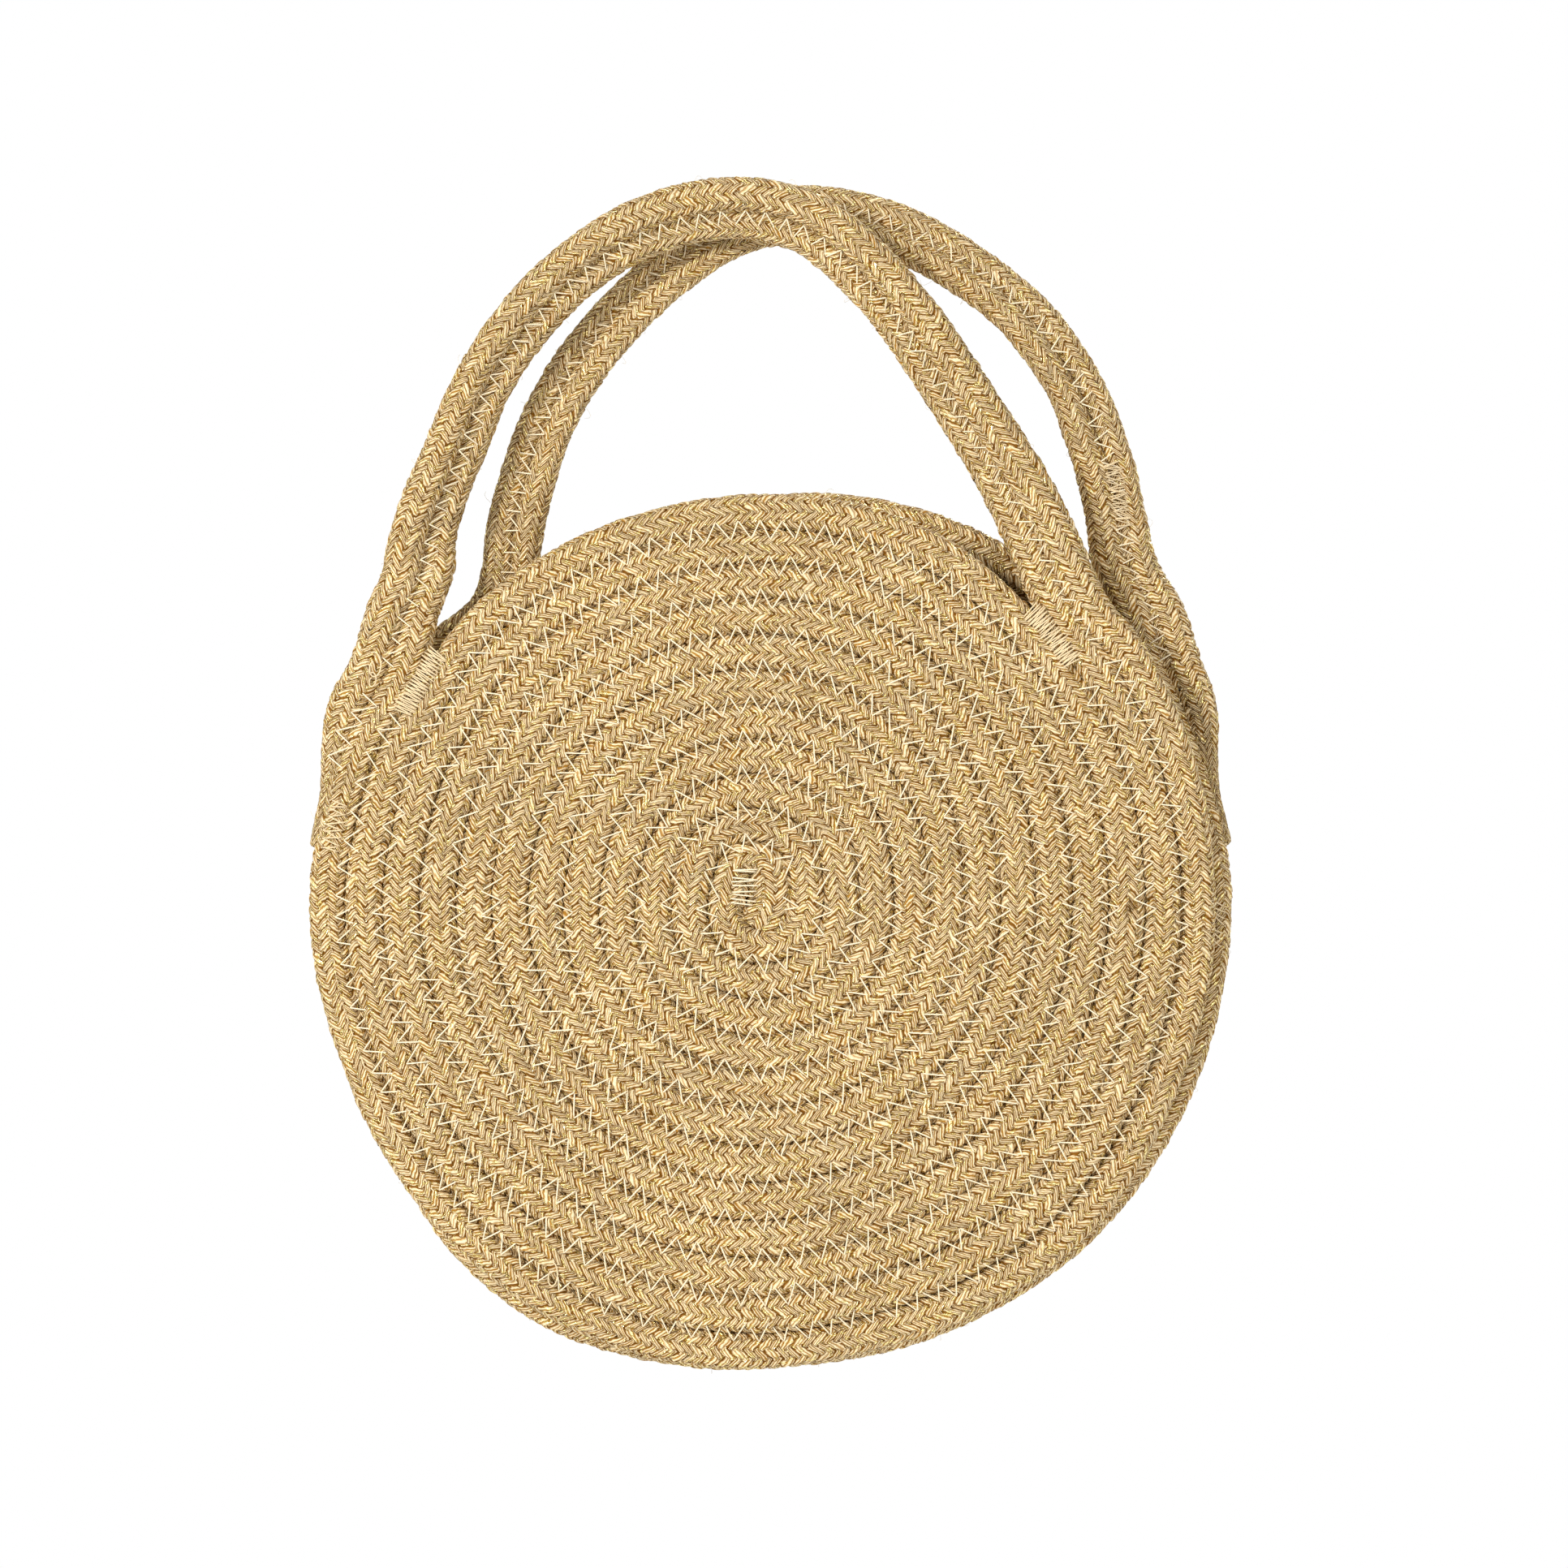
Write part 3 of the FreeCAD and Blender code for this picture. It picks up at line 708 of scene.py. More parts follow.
def braid_height(rows):
    """The height of the yarn at each ring and side, as a share."""
    around = np.arange(SIDES)[None] / SIDES_PER_COLUMN
    rows = np.broadcast_to(rows[:, None], (len(rows), SIDES))
    column, across = plaited(rows, around)
    counted = counted_rows(rows, column)
    index = np.floor(counted)
    share = counted - index
    to_end = np.abs(2 * across - 1) ** FLOAT_END_POWER
    crown = np.sqrt(np.clip(1 - ((2 * share - 1) / (1 - FLOAT_NARROWING * to_end)) ** 2, 0, 1))
    ends = 1 - FLOAT_END_DIP * to_end
    return crown * ends * (FLOAT_LEAST + FLOAT_MORE * lot_of(index, column))


def section_sizes(free):
    """Half the width, half the depth and the squareness of the rope. Free is 1 away from other turns."""
    pairs = zip((SECTION_WIDE, SECTION_DEEP, SECTION_POWER), (FREE_WIDE, FREE_DEEP, FREE_POWER))
    return [pressed + (alone - pressed) * free for pressed, alone in pairs]


def section(angle, free=0.0):
    """The rope's radius at an angle from the side that faces the next turn."""
    wide, deep, power = section_sizes(free)
    return (np.abs(np.cos(angle) / wide) ** power + np.abs(np.sin(angle) / deep) ** power) ** (-1 / power)


def stitch_dents(points, holes):
    """How deep each point is pulled in by the stitches near it."""
    tree = kdtree.KDTree(points.size // 3)
    for index, place in enumerate(points.reshape(-1, 3)):
        tree.insert(place, index)
    tree.balance()
    dents = np.zeros(points.size // 3)
    for hole in holes:
        for _, index, far in tree.find_range(hole, HOLE_R):
            dents[index] = max(dents[index], HOLE_DEPTH * (1 - (far / HOLE_R) ** 2))
    return dents.reshape(points.shape[:-1])


def rope_piece(name, rope, runs, holes):
    """Braided rope along one or more stretches, dented by the stitches."""
    column_at = np.arange(SIDES) / SIDES_PER_COLUMN
    shear = (1 - np.abs(column_at % 2 - 1)) * COLUMN_SHEAR
    corners, faces, pairs = [], [], []
    count = 0
    for first, end in runs:
        ring = np.arange(first, end + 1)
        slant = 1 + ripple(ring, SLANT_WAVES)
        where = ring[:, None] * RING_STEP + shear[None] * slant[:, None]
        where = np.clip(where, 0, rope.run[-1])
        point, way, girth, free, neighbour, tilt = rope.at(
            where, "points", "way", "girth", "free", "neighbour", "tilt")
        angle = np.arange(SIDES)[None] * TURN / SIDES + ripple(where, TWIST_WAVES)
        to_end = np.minimum(where, rope.run[-1] - where) / END_ROUNDING
        rounded = np.sqrt(np.clip(1 - (1 - np.clip(to_end, 0, 1)) ** 2, 0, 1))
        swell = 1 + ripple(where, SWELL_WAVES)
        sunk = FLOAT_HEIGHT * (1 - braid_height(ring / RINGS_PER_FLOAT))
        pressed = np.clip(np.cos(angle) * neighbour, 0, 1) ** PRESS_POWER
        radius = (section(angle, free) * swell - sunk * (1 - pressed)) * girth * rounded
        out = swung(angle + tilt, way)
        ring_points = point + out * radius[..., None]
        ring_points -= out * stitch_dents(ring_points, holes)[..., None]
        for across, up in () if rope.half else PUCKERS:
            aside = ring_points[..., 0] - COIL_CENTRE[0] - across
            far = np.hypot(aside, ring_points[..., 2] - up) / PUCKER_R
            facing = smooth((point[..., 1] - ring_points[..., 1]) / SECTION_DEEP)
            ring_points[..., 1] += PUCKER_DEPTH * np.exp(-far ** 2) * facing
        quads, corner_ring, corner_side = tube_faces(len(ring), SIDES, count)
        corners.append(to_frame(ring_points.reshape(-1, 3), rope.half))
        faces.append(quads)
        along = (corner_ring + first) / RINGS_PER_FLOAT
        pairs.append(np.stack([along, corner_side / SIDES_PER_COLUMN], -1))
        count += ring_points.shape[0] * SIDES
    piece = mesh_from(name, np.vstack(corners), np.vstack(faces), np.vstack(pairs))
    if runs[0][0] < 0 or "tail" in name:
        shape = bmesh.new()
        shape.from_mesh(piece.data)
        bmesh.ops.remove_doubles(shape, verts=shape.verts, dist=TOUCHING)
        bmesh.ops.dissolve_degenerate(shape, edges=shape.edges, dist=TOUCHING)
        shape.to_mesh(piece.data)
        shape.free()
    return piece


def thread_piece(name, lines, radius=THREAD_R, sides=THREAD_SIDES):
    """Thread along many lines, each the same number of points."""
    lines = np.asarray(lines)
    count, knots, _ = lines.shape
    way = directions(lines)
    normal = unit(np.cross(way, THREAD_FRONT))
    binormal = np.cross(way, normal)
    angle = np.arange(sides) * TURN / sides
    corners = (lines[:, :, None] + radius * (
        np.cos(angle)[:, None] * normal[:, :, None] + np.sin(angle)[:, None] * binormal[:, :, None]))
    quads, corner_ring, corner_side = tube_faces(knots, sides, 0)
    block = knots * sides
    all_quads = (quads[None] + np.arange(count)[:, None, None] * block).reshape(-1, 4)
    along = lengths(lines)[:, corner_ring] / MM
    around = np.broadcast_to(corner_side / sides, along.shape)
    pairs = np.stack([along, around], -1).reshape(-1, 4, 2)
    return mesh_from(name, corners.reshape(-1, 3), all_quads, pairs)


# Stitches

def stroke(start, end, lift=0.0, face=1):
    """One stitch between two points on the rope's face, sunk at both ends."""
    line = start + (end - start) * STROKE_SHARES[:, None]
    line[:, 1] += (STROKE_DEPTHS - lift) * face
    return line


def face_y(outward, free=0.0, girth=1.0):
    """The depth of the rope's face at a distance from its crest line."""
    wide, deep, power = section_sizes(free)
    off = np.minimum(np.abs(outward) / (wide * girth), 1) ** power
    return -deep * girth * (1 - off) ** (1 / power) - THREAD_R


def zigzag_tips(line, half, spacing, freedom, hold, face=1, pitch=ZIG_PITCH, tilt=(0.0, 0.0)):
    """Tips of a zigzag along a flat line. Spacing is half the pitch of the ropes on either side, freedom how
    free they are of other turns, and hold their share of the handle's lean."""
    run = lengths(line)
    way = directions(line)
    count = int(run[-1] / pitch)
    stitch = np.arange(count)
    places = np.stack([stitch, stitch + ZIG_LEAN_SHARE], 1).ravel() * pitch
    places = places + rng.normal(0, ZIG_MESS, places.shape)
    places = np.clip(places, 0, run[-1])
    side = np.tile([-1.0, 1.0], count)
    reach = (ZIG_WIDTH / 2 - THREAD_R) * (1 + rng.normal(0, ZIG_MESS_SHARE, places.shape))
    gap = np.interp(places, run, spacing)
    free = np.interp(places, run, freedom)
    forward = -face_y(gap - reach, free, gap / HALF_PITCH) * face
    turn = np.interp(places / run[-1], np.linspace(0, 1, len(tilt)), tilt)
    sideways = side * reach * np.cos(turn) - forward * np.sin(turn)
    tip = at_length(line, run, places) + left_of(at_length(way, run, places)) * sideways[:, None]
    tip += TO_FRONT * (side * reach * np.sin(turn) + forward * np.cos(turn))[:, None]
    return settle(tip, half, np.interp(places, run, hold))


def zigzag_strokes(tips, face=1, depth=BURIED):
    buried = depth + np.abs(rng.normal(0, BURIED_MORE, len(tips)))
    buried[1::2] += SLANT_BURIED
    return [stroke(*ends, -sunk, face) for *ends, sunk in zip(tips, tips[1:], buried)]


def satin(line, width, half, pitch, spacing):
    """Dense parallel stitches across a flat line."""
    run = lengths(line)
    places = np.linspace(0, run[-1], max(int(run[-1] / pitch), SATIN_FEWEST))
    ways = at_length(directions(line), run, places)
    strokes = []
    for index, (point, along, across) in enumerate(zip(at_length(line, run, places), ways, left_of(ways))):
        ends = []
        for side in (-1, 1):
            reach = width / 2 * (1 + rng.normal(0, SATIN_MESS_SHARE))
            slip = pitch * (0.5 * side * (-1) ** index + rng.normal(0, SATIN_SLIP_SHARE))
            tip = point + across * side * reach + along * slip
            tip[1] += face_y(np.array(max(spacing - reach, 0)))
            ends.append(settle(tip, half))
        strokes.append(stroke(*ends, SATIN_LIFT + SATIN_LIFT_MORE * rng.random()))
    return strokes


def centre_tack():
    """Stitches across the start of the rope, at the middle of a half."""
    top = COIL_CENTRE + CENTRE_TACK_TOP
    foot = COIL_CENTRE + CENTRE_TACK_FOOT
    strokes = []
    for share in np.linspace(0, 1, CENTRE_TACK_STITCHES):
        ends = top + (foot - top) * share + rng.normal(0, CENTRE_TACK_MESS, (2, 3)) * np.array([1, 0, 1])
        ends[:, 0] += np.array([-CENTRE_TACK_W / 2, CENTRE_TACK_W / 2])
        ends[:, 1] += face_y(0)
        strokes.append(stroke(*ends, CENTRE_TACK_LIFT))
    return strokes


# Materials

class Value:
    """What a node gives out, used in sums like a number."""

    def __init__(self, tree, socket):
        self.tree = tree
        self.socket = socket

    def by(self, operation, *others):
        return self.tree.node("Math", dict(enumerate((self, *others))), operation=operation)

    __add__ = partialmethod(by, "ADD")
    __sub__ = partialmethod(by, "SUBTRACT")
    __mul__ = partialmethod(by, "MULTIPLY")
    __truediv__ = partialmethod(by, "DIVIDE")
    __mod__ = partialmethod(by, "MODULO")
    __abs__ = partialmethod(by, "ABSOLUTE")

    def rest(self):
        """What is left up to 1."""
        return self * -1.0 + 1.0

    def to_edge(self):
        """How far a share is from 0 or from 1."""
        return self.by("MINIMUM", self.rest())

    def sine(self):
        """The sine of a number of turns."""
        return (self * TURN).by("SINE")


class Tree:
    """Short calls for building the nodes of a material or a world."""

    MIX_COLOURS = (6, 7)
    MIX_RESULT = 2

    def __init__(self, owner, kind="Material"):
        self.owner = owner
        owner.use_nodes = True
        self.nodes = owner.node_tree.nodes
        self.links = owner.node_tree.links
        self.nodes.clear()
        self.output = self.nodes.new("ShaderNodeOutput" + kind)

    def node(self, kind, inputs, output=0, **settings):
        """Adds a node and returns one of its outputs."""
        made = self.nodes.new("ShaderNode" + kind)
        for name, setting in settings.items():
            setattr(made, name, setting)
        for name, value in inputs.items():
            if isinstance(value, Value):
                self.links.new(value.socket, made.inputs[name])
            else:
                made.inputs[name].default_value = (*value, 1.0) if isinstance(value, tuple) else value
        return Value(self, made.outputs[output])

    def combine(self, *parts):
        return self.node("CombineXYZ", dict(enumerate(parts)))

    def lot(self, *parts):
        """A random number for each set of whole numbers."""
        return self.node("TexWhiteNoise", {"Vector": self.combine(*parts)}, "Value", noise_dimensions="3D")

    def noise(self, scale, detail, roughness=0.5, place=None):
        place = place or self.node("TexCoord", {}, "Object")
        inputs = {"Vector": place, "Scale": scale, "Detail": detail, "Roughness": roughness}
        return self.node("TexNoise", inputs, "Fac")

    def span(self, value, low, high, to_low=0.0, to_high=1.0):
        inputs = {"Value": value, "From Min": low, "From Max": high, "To Min": to_low, "To Max": to_high}
        return self.node("MapRange", inputs, "Result", interpolation_type="SMOOTHSTEP")

    def blend(self, share, first, second, kind="MIX"):
        inputs = dict(zip(("Factor", *self.MIX_COLOURS), (share, first, second)))
        return self.node("Mix", inputs, self.MIX_RESULT, data_type="RGBA", blend_type=kind)

    def shaded(self, colour, shade):
        return self.blend(1.0, colour, self.combine(shade, shade, shade), "MULTIPLY")

    def uv(self):
        """Bundles, or millimetres, along a piece, and rows or turns round it."""
        place = self.node("UVMap", {}, uv_map="UVMap")
        return [self.node("SeparateXYZ", {0: place}, part) for part in (0, 1)]

    def bump(self, height, strength, distance):
        return self.node("Bump", {"Height": height, "Strength": strength, "Distance": distance})

    def show(self, surface):
        self.links.new(surface.socket, self.output.inputs["Surface"])
        return self.owner

    def principled(self, **inputs):
        named = {name.replace("_", " "): value for name, value in inputs.items()}
        return self.show(self.node("BsdfPrincipled", named))


def rope_material():
    tree = Tree(bpy.data.materials.new("braided_jute_and_gold"))
    along, around = tree.uv()

    # Row and bundle, as plaited and counted_rows have them
    border = (around + 0.5).by("FLOOR")
    sign = border % 2.0 * -2.0 + 1.0
    nearness = (abs(around - border) * 2.0).rest()
    shifted = around - (along * TURN).by("COSINE") * sign * nearness * TIP_REACH
    across = shifted.by("FRACT")
    column = (shifted.by("FLOOR") + BRAID_COLUMNS) % BRAID_COLUMNS
    slow, fast = ((along * rate + column * step).by("SINE") for rate, step in UNEVEN_WAVES)
    wander = tree.noise(*WANDER_NOISE, place=tree.combine(along, around * WANDER_STRETCH))
    counted = along + column % 2.0 * 0.5 + (slow + fast) * UNEVEN + (wander - 0.5) * WANDER
    index = counted.by("FLOOR")

    # Yarns in a bundle, which draw together towards its ends
    width = (abs(across * 2.0 - 1.0).by("POWER", FLOAT_END_POWER) * FLOAT_NARROWING).rest()
    share = (counted.by("FRACT") - 0.5) / width + 0.5
    yarn_at = share * YARNS_PER_FLOAT
    yarn = index * YARNS_PER_FLOAT + yarn_at.by("FLOOR")
    in_yarn = yarn_at.by("FRACT")
    ridge = tree.span(abs(in_yarn * 2.0 - 1.0).rest(), *RIDGE_SPAN)
    ply = (across * PLIES_PER_FLOAT + in_yarn * PLY_SLANT).sine()
    stretched = tree.combine(across * FIBRE_STRETCH[0], counted * FIBRE_STRETCH[1], column)
    fibre = tree.noise(*FIBRE_NOISE, place=stretched)

    # Gold filament, showing now and then along a yarn
    speck_at = across * SPECKS_PER_FLOAT
    aside = in_yarn - 0.5
    ahead = speck_at.by("FRACT") - 0.5
    far = (aside * aside + ahead * ahead).by("SQRT")
    chosen = tree.span(tree.lot(yarn, speck_at.by("FLOOR"), column + SPECK_SEED), *SPECK_CHOICE)
    speck = tree.span(far, *SPECK_SPAN) * chosen
    halo = tree.span(far, *HALO_SPAN) * chosen

    # Colour
    # Painted highlight along each yarn's crest and painted shade at its sides, crisper in places, plus the
    # fibres' and yarns' random tone
    ridge_highlight_and_tone = (ridge - 0.5) * tree.span(tree.noise(*CRISP_NOISE), *CRISP_SPAN) * RIDGE_HIGHLIGHT_TONE
    ridge_highlight_and_tone = ridge_highlight_and_tone + (fibre - 0.5) * FIBRE_TONE + tree.lot(yarn, column, YARN_SEED) * YARN_TONE + LEAST_TONE
    # Painted shade in the crevices at the sides and ends of each bundle
    clear_of_crevice_shade = tree.span(share.to_edge(), *SIDE_SHADE_SPAN) * tree.span(across.to_edge(), *END_SHADE_SPAN)
    colour = tree.blend(clear_of_crevice_shade, YARN_CREVICE_SHADE, tree.blend(ridge_highlight_and_tone, YARN_DARK, YARN_LIGHT))
    float_lot = tree.lot(index, column, 0.0)
    shade = tree.noise(*PATCH_NOISE) * PATCH_SHADE + float_lot * FLOAT_SHADE + LEAST_SHADE
    colour = tree.shaded(colour, shade)
    colour = tree.blend(halo * HALO_SHARE, colour, OLD_GOLD)
    colour = tree.blend(speck, colour, GOLD)

    height = ridge * RIDGE_RISE + fibre * FIBRE_RISE + ply * PLY_RISE + speck * SPECK_RISE
    roughness = tree.span(speck, 0.0, 1.0, YARN_ROUGHNESS, GOLD_ROUGHNESS)
    return tree.principled(
        Base_Color=colour, Metallic=speck, Roughness=roughness, Normal=tree.bump(height, *YARN_BUMP),
        Specular_IOR_Level=YARN_SPECULAR,
    )


def thread_material(name, thread_colour):
    tree = Tree(bpy.data.materials.new(name))
    along, around = tree.uv()
    ply = (along * THREAD_TWIST + around * THREAD_PLIES).sine()
    colour = tree.shaded(thread_colour, tree.span(tree.noise(*THREAD_NOISE), *THREAD_SHADES))
    return tree.principled(
        Base_Color=colour, Roughness=THREAD_ROUGHNESS, Normal=tree.bump(ply, *THREAD_BUMP),
        Specular_IOR_Level=THREAD_SPECULAR,
    )


ROPE_LOOK = rope_material()
THREAD_LOOK = thread_material("cream_sewing_thread", THREAD_COLOUR)
# The same thread in a darker copy, painted shade
SHADED_THREAD_LOOK = thread_material("cream_sewing_thread_shaded", SHADED_THREAD_COLOUR)
FIBRE_LOOK = thread_material("loose_jute_fibre", FIBRE_COLOUR)


# Both halves

def dress(piece, look, node=None):
    """Gives a piece its material, and hides the CAD part of the node that it stands for."""
    piece.data.materials.append(look)
    if node:
        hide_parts(node)


def bend(piece):
    """Bakes a piece's placement into its mesh."""
    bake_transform(piece)


def sew(node, lines, look, half, radius=THREAD_R):
    """Thread that stands for a node, along lines of a half."""
    piece = thread_piece(node + "_thread", to_frame(np.array(lines), half), radius)
    dress(piece, look, node)
    bend(piece)


def arc_angle(distance, quarter):
    return math.degrees(distance / (COIL_START_R + quarter * QUARTER_STEP + HALF_PITCH))


def part_of(height, on_handle):
    """Which part of a half each place lies on."""
    above = np.where(on_handle & (height > SPLIT_HEIGHT), "handle", "lip")
    return np.where(height < BEND_HEIGHT, "panel", above)


middle = handle_line()
tail_tack_angle = TAIL_END_ANGLE - arc_angle(TAIL_TACK_L, INNER_STRAND)
bartack_angle = arc_angle(BARTACK_L, DISC_EDGE)
ZIG_ROWS = (
    (ZIG_START_ANGLE, total_angle(DISC_EDGE, RIGHT_ROOT_ANGLE)),
    (total_angle(DISC_EDGE + 1, LEFT_ROOT_ANGLE + ROW_GAP_ANGLE), RIGHT_ROOT),
    (LEFT_ROOT, total_angle(INNER_STRAND + 1, tail_tack_angle)),
)
BARTACK = (HALF_PITCH, BARTACK_W, BARTACK_PITCH)
TAIL_TACK = (TAIL_TACK_OUT, TAIL_TACK_W, TAIL_TACK_PITCH)
TACKS = {
    "left_bartack": (DISC_EDGE + 1, LEFT_ROOT_ANGLE - bartack_angle, LEFT_ROOT_ANGLE, BARTACK),
    "right_bartack": (DISC_EDGE, RIGHT_ROOT_ANGLE, RIGHT_ROOT_ANGLE + bartack_angle, BARTACK),
    "tail_tack": (INNER_STRAND + 1, tail_tack_angle, TAIL_END_ANGLE, TAIL_TACK),
}
ropes = [Rope(half) for half in (0, 1)]

for half, side in enumerate(HALVES):

    # Zigzag rows
    strokes = []
    holes = []
    for first, last in ZIG_ROWS:
        line = sweep(first, last, HALF_PITCH)
        none = np.zeros(len(line))
        tips = zigzag_tips(line, half, HALF_PITCH * spacing_share(line, half), none, none)
        strokes += zigzag_strokes(tips)
        holes += list(tips)
    on_disc = len(strokes)
    for face in (1, -1):
        free = off_roots(len(middle), FREE_RAMP_SHARE)
        tips = zigzag_tips(middle, half, strand_offset(middle, half), free, strand_hold(middle), face,
                           tilt=strand_tilt(len(middle), half))
        strokes += zigzag_strokes(tips, face, HANDLE_BURIED)
        holes += list(tips)
    strokes = np.array(strokes)
    parts = part_of(strokes[:, STROKE_MIDDLE, 2], np.arange(len(strokes)) >= on_disc)
    for part in PARTS:
        sew(side + "_" + part + "_zigzag", strokes[parts == part], THREAD_LOOK, half)

    # Rope
    for node, runs in ropes[half].runs().items():
        name = side + "_" + node
        piece = rope_piece(name + "_braid", ropes[half], runs, holes)
        dress(piece, ROPE_LOOK, name)
        bend(piece)

    # Tacks
    for node, (quarter, first, last, (outward, width, pitch)) in TACKS.items():
        line = sweep(total_angle(quarter, first), total_angle(quarter, last), outward)
        sew(side + "_" + node, satin(line, width, half, pitch, outward), SHADED_THREAD_LOOK, half)
    sew(side + "_centre_tack", centre_tack(), THREAD_LOOK, half)


# Loose fibres of the rope and loops of thread

def fibre_lines(rope):
    """Fine fibres that stand off the rope, and whether each is on the handle."""
    where = rng.uniform(0, rope.run[-1], FIBRES)
    turn = rng.uniform(0, TURN, FIBRES)
    point, way, girth, free = rope.at(where, "points", "way", "girth", "free")
    out = swung(turn, way)
    root = point + out * (section(turn, free) * girth - FIBRE_ROOT)[:, None]
    along = way * rng.uniform(-1, 1, FIBRES)[:, None]
    along = along + np.cross(way, out) * rng.uniform(-1, 1, FIBRES)[:, None]
    share = np.linspace(0, 1, FIBRE_KNOTS)[None, :, None]
    length = rng.uniform(*FIBRE_LENGTHS, FIBRES)[:, None, None]
    rise = rng.uniform(*FIBRE_RISES, FIBRES)[:, None, None]
    path = along[:, None] * share + out[:, None] * (rise * np.sin(share * math.pi * FIBRE_BEND))
    on_handle = np.isin(rope.label, ["inner", "outer"])
    return root[:, None] + path * length, on_handle[np.searchsorted(rope.run, where)]


def loop_line(across, up, size, half):
    """A loop of slack thread on the face of a half."""
    turn = np.linspace(*LOOP_TURNS, LOOP_KNOTS) * TURN
    line = np.stack([np.sin(turn) * size / 2, np.zeros_like(turn), np.cos(turn) * size], -1)
    line[:, 2] += np.linspace(0, -size, LOOP_KNOTS)
    line = settle(line + COIL_CENTRE + np.array([across, 0, up]), half)
    line[:, 1] -= SECTION_DEEP + THREAD_R + LOOP_RISE * np.sin(np.linspace(0, math.pi, LOOP_KNOTS))
    return line


for half, side in enumerate(HALVES):
    lines, on_handle = fibre_lines(ropes[half])
    parts = part_of(lines[:, 0, 2], on_handle)
    for part in PARTS:
        lot = to_frame(lines[parts == part], half)
        piece = thread_piece(side + "_" + part + "_fibres", lot, FIBRE_R, FIBRE_SIDES)
        dress(piece, FIBRE_LOOK)
        bend(piece)

loops = [loop_line(across, up, size, 0) for across, up, size in THREAD_LOOPS]
piece = thread_piece("front_loose_thread", to_frame(np.array(loops), 0))
dress(piece, SHADED_THREAD_LOOK)
bend(piece)


# Stitching that joins the halves

def seam_lines(half):
    """Straight stitches along the rim's crest, on one face."""
    rim = sweep(total_angle(INNER_STRAND + 2, 2 * QUARTER), total_angle(OUTER_STRAND, 0.0))
    run = lengths(rim)
    holes = np.arange(0, run[-1], SEAM_PITCH)
    sway = ripple(holes, SEAM_WAVES) + rng.normal(0, SEAM_MESS, holes.shape)
    point = at_length(rim, run, holes) + left_of(at_length(directions(rim), run, holes)) * sway[:, None]
    point[:, 1] += face_y(np.abs(sway))
    point = settle(point, half)
    return [to_frame(stroke(*ends, -SEAM_BURIED), half) for ends in zip(point, point[1:])]


def join(node, lines):
    """Thread that stands for a node and holds both halves."""
    piece = thread_piece(node + "_thread", lines)
    dress(piece, SHADED_THREAD_LOOK, node)
    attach(piece, "bag_body")


def rim_place(half, on_right, below):
    """A point of a half's rim at an arc below a mouth corner, in the bag's frame."""
    drop = math.degrees(below / (COIL_START_R + OUTER_STRAND * QUARTER_STEP))
    if on_right == (half == 0):
        total = OUTER_STRAND * QUARTER - drop
    else:
        total = (INNER_STRAND + TURN_QUARTERS / 2) * QUARTER + drop
    return to_frame(settle(spiral(np.array(total)), half), half)


def mouth_tack_lines(on_right):
    """Thread wrapped over both rims at one end of the seam."""
    out = 1 if on_right else -1
    lines = []
    for below in np.linspace(0, MOUTH_TACK_L, MOUTH_TACK_STITCHES):
        front, back = (rim_place(half, on_right, below + rng.normal(0, MOUTH_TACK_MESS)) for half in (0, 1))
        past = MOUTH_TACK_REACH * SECTION_DEEP
        depth = np.linspace(front[1] - past, back[1] + past, MOUTH_TACK_KNOTS)
        crests = [out * rim[0] + SECTION_WIDE - FLOAT_HEIGHT for rim in (front, back)]
        across = np.interp(depth, [front[1], back[1]], crests, left=0, right=0)
        for rim, crest in zip((front, back), crests):
            off = np.clip(np.abs(depth - rim[1]) / SECTION_DEEP, 0, 1) ** SECTION_POWER
            across = np.maximum(across, crest - SECTION_WIDE * (1 - (1 - off) ** (1 / SECTION_POWER)))
        across[[0, -1]] -= THREAD_SINK
        height = np.interp(depth, [front[1], back[1]], [front[2], back[2]])
        lines.append(np.stack([out * across, depth, height], -1))
    return lines


join("rim_seam", seam_lines(0) + seam_lines(1))
for place in ("left", "right"):
    join(place + "_mouth_tack", mouth_tack_lines(place == "right"))

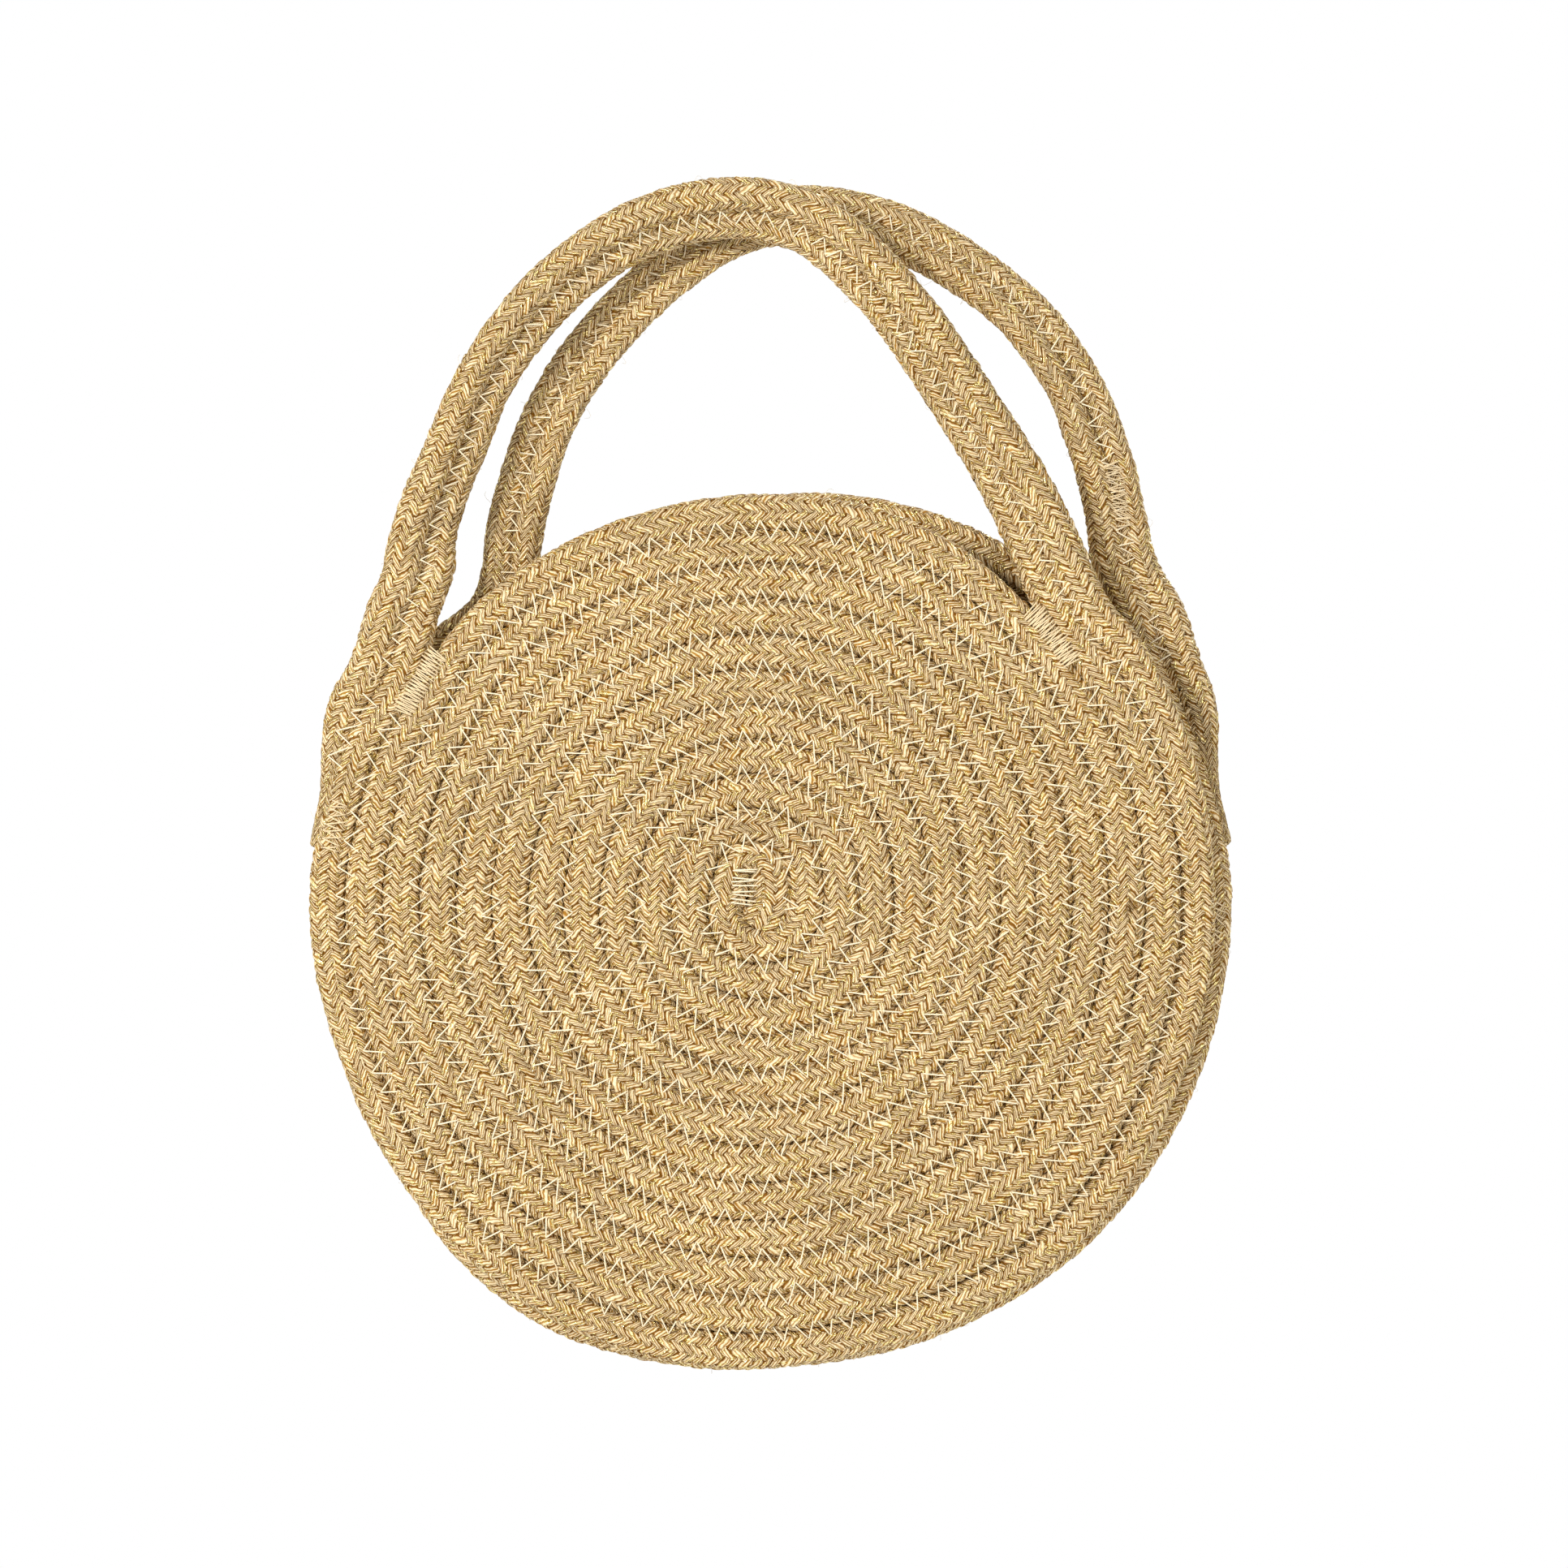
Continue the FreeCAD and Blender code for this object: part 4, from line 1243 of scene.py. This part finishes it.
# Splice on the back handle
run = lengths(middle)
held = np.abs(run - SPLICE_SHARE * run[-1]) < SPLICE_L / 2
part = middle[held]
spacing = strand_offset(middle, 1)[held]
tilt = strand_tilt(len(middle), 1)[held]
fully = np.ones(len(part))
lines = []
for face in (1, -1):
    for pitch in SPLICE_PITCHES:
        tips = zigzag_tips(part, 1, spacing, fully, fully, face, pitch, tilt)
        lines += zigzag_strokes(tips, face, SPLICE_BURIED)
sew("back_handle_splice", lines, SHADED_THREAD_LOOK, 1, SPLICE_THREAD_R)

# Camera
scene = bpy.context.scene
camera = placed("camera", bpy.data.cameras.new("camera"))
camera.data.sensor_width = SENSOR_WIDTH
camera.data.lens = SENSOR_WIDTH * CAMERA_DISTANCE / (PHOTO_SIZE * MM_PER_PIXEL)
camera.location = (
    (PHOTO_SIZE / 2 - PHOTO_MIDDLE_X) * MM_PER_PIXEL,
    COIL_Y - CAMERA_DISTANCE,
    COIL_HEIGHT + (PHOTO_COIL_Y - PHOTO_SIZE / 2) * MM_PER_PIXEL,
)
camera.rotation_euler = (math.radians(QUARTER), 0, 0)
scene.camera = camera

# Light
scene.view_settings.view_transform = "Standard"
for name, place, width, watts in SOFTBOXES:
    lamp = placed(name, bpy.data.lights.new(name, "AREA"))
    lamp.data.shape = "SQUARE"
    lamp.data.size = width
    lamp.data.energy = watts
    lamp.location = place
    lamp.rotation_euler = Vector(np.array(AIM) - np.array(place)).to_track_quat("-Z", "Y").to_euler()

sky = Tree(bpy.data.worlds.new("world"), "World")
camera_ray, glossy_ray, clear_ray = (
    sky.node("LightPath", {}, "Is " + kind + " Ray") for kind in ("Camera", "Glossy", "Transmission")
)
seen = camera_ray.by("MAXIMUM", glossy_ray).by("MAXIMUM", clear_ray)
lit, shown = (sky.node("Background", {"Color": WHITE, "Strength": strength}) for strength in SKY_STRENGTHS)
scene.world = sky.show(sky.node("MixShader", {0: seen, 1: lit, 2: shown}))

# Floor
floor_z = cad_low[2] - FLOOR_DROP
floor_corners = [(x * FLOOR_HALF, y * FLOOR_HALF, floor_z) for x, y in ((-1, -1), (1, -1), (1, 1), (-1, 1))]
floor_mesh = bpy.data.meshes.new("floor")
floor_mesh.from_pydata(floor_corners, [], [(0, 1, 2, 3)])
pale = Tree(bpy.data.materials.new("pale_floor"))
floor_mesh.materials.append(pale.principled(Base_Color=FLOOR_GREY, Roughness=FLOOR_ROUGHNESS))
placed("floor", floor_mesh)
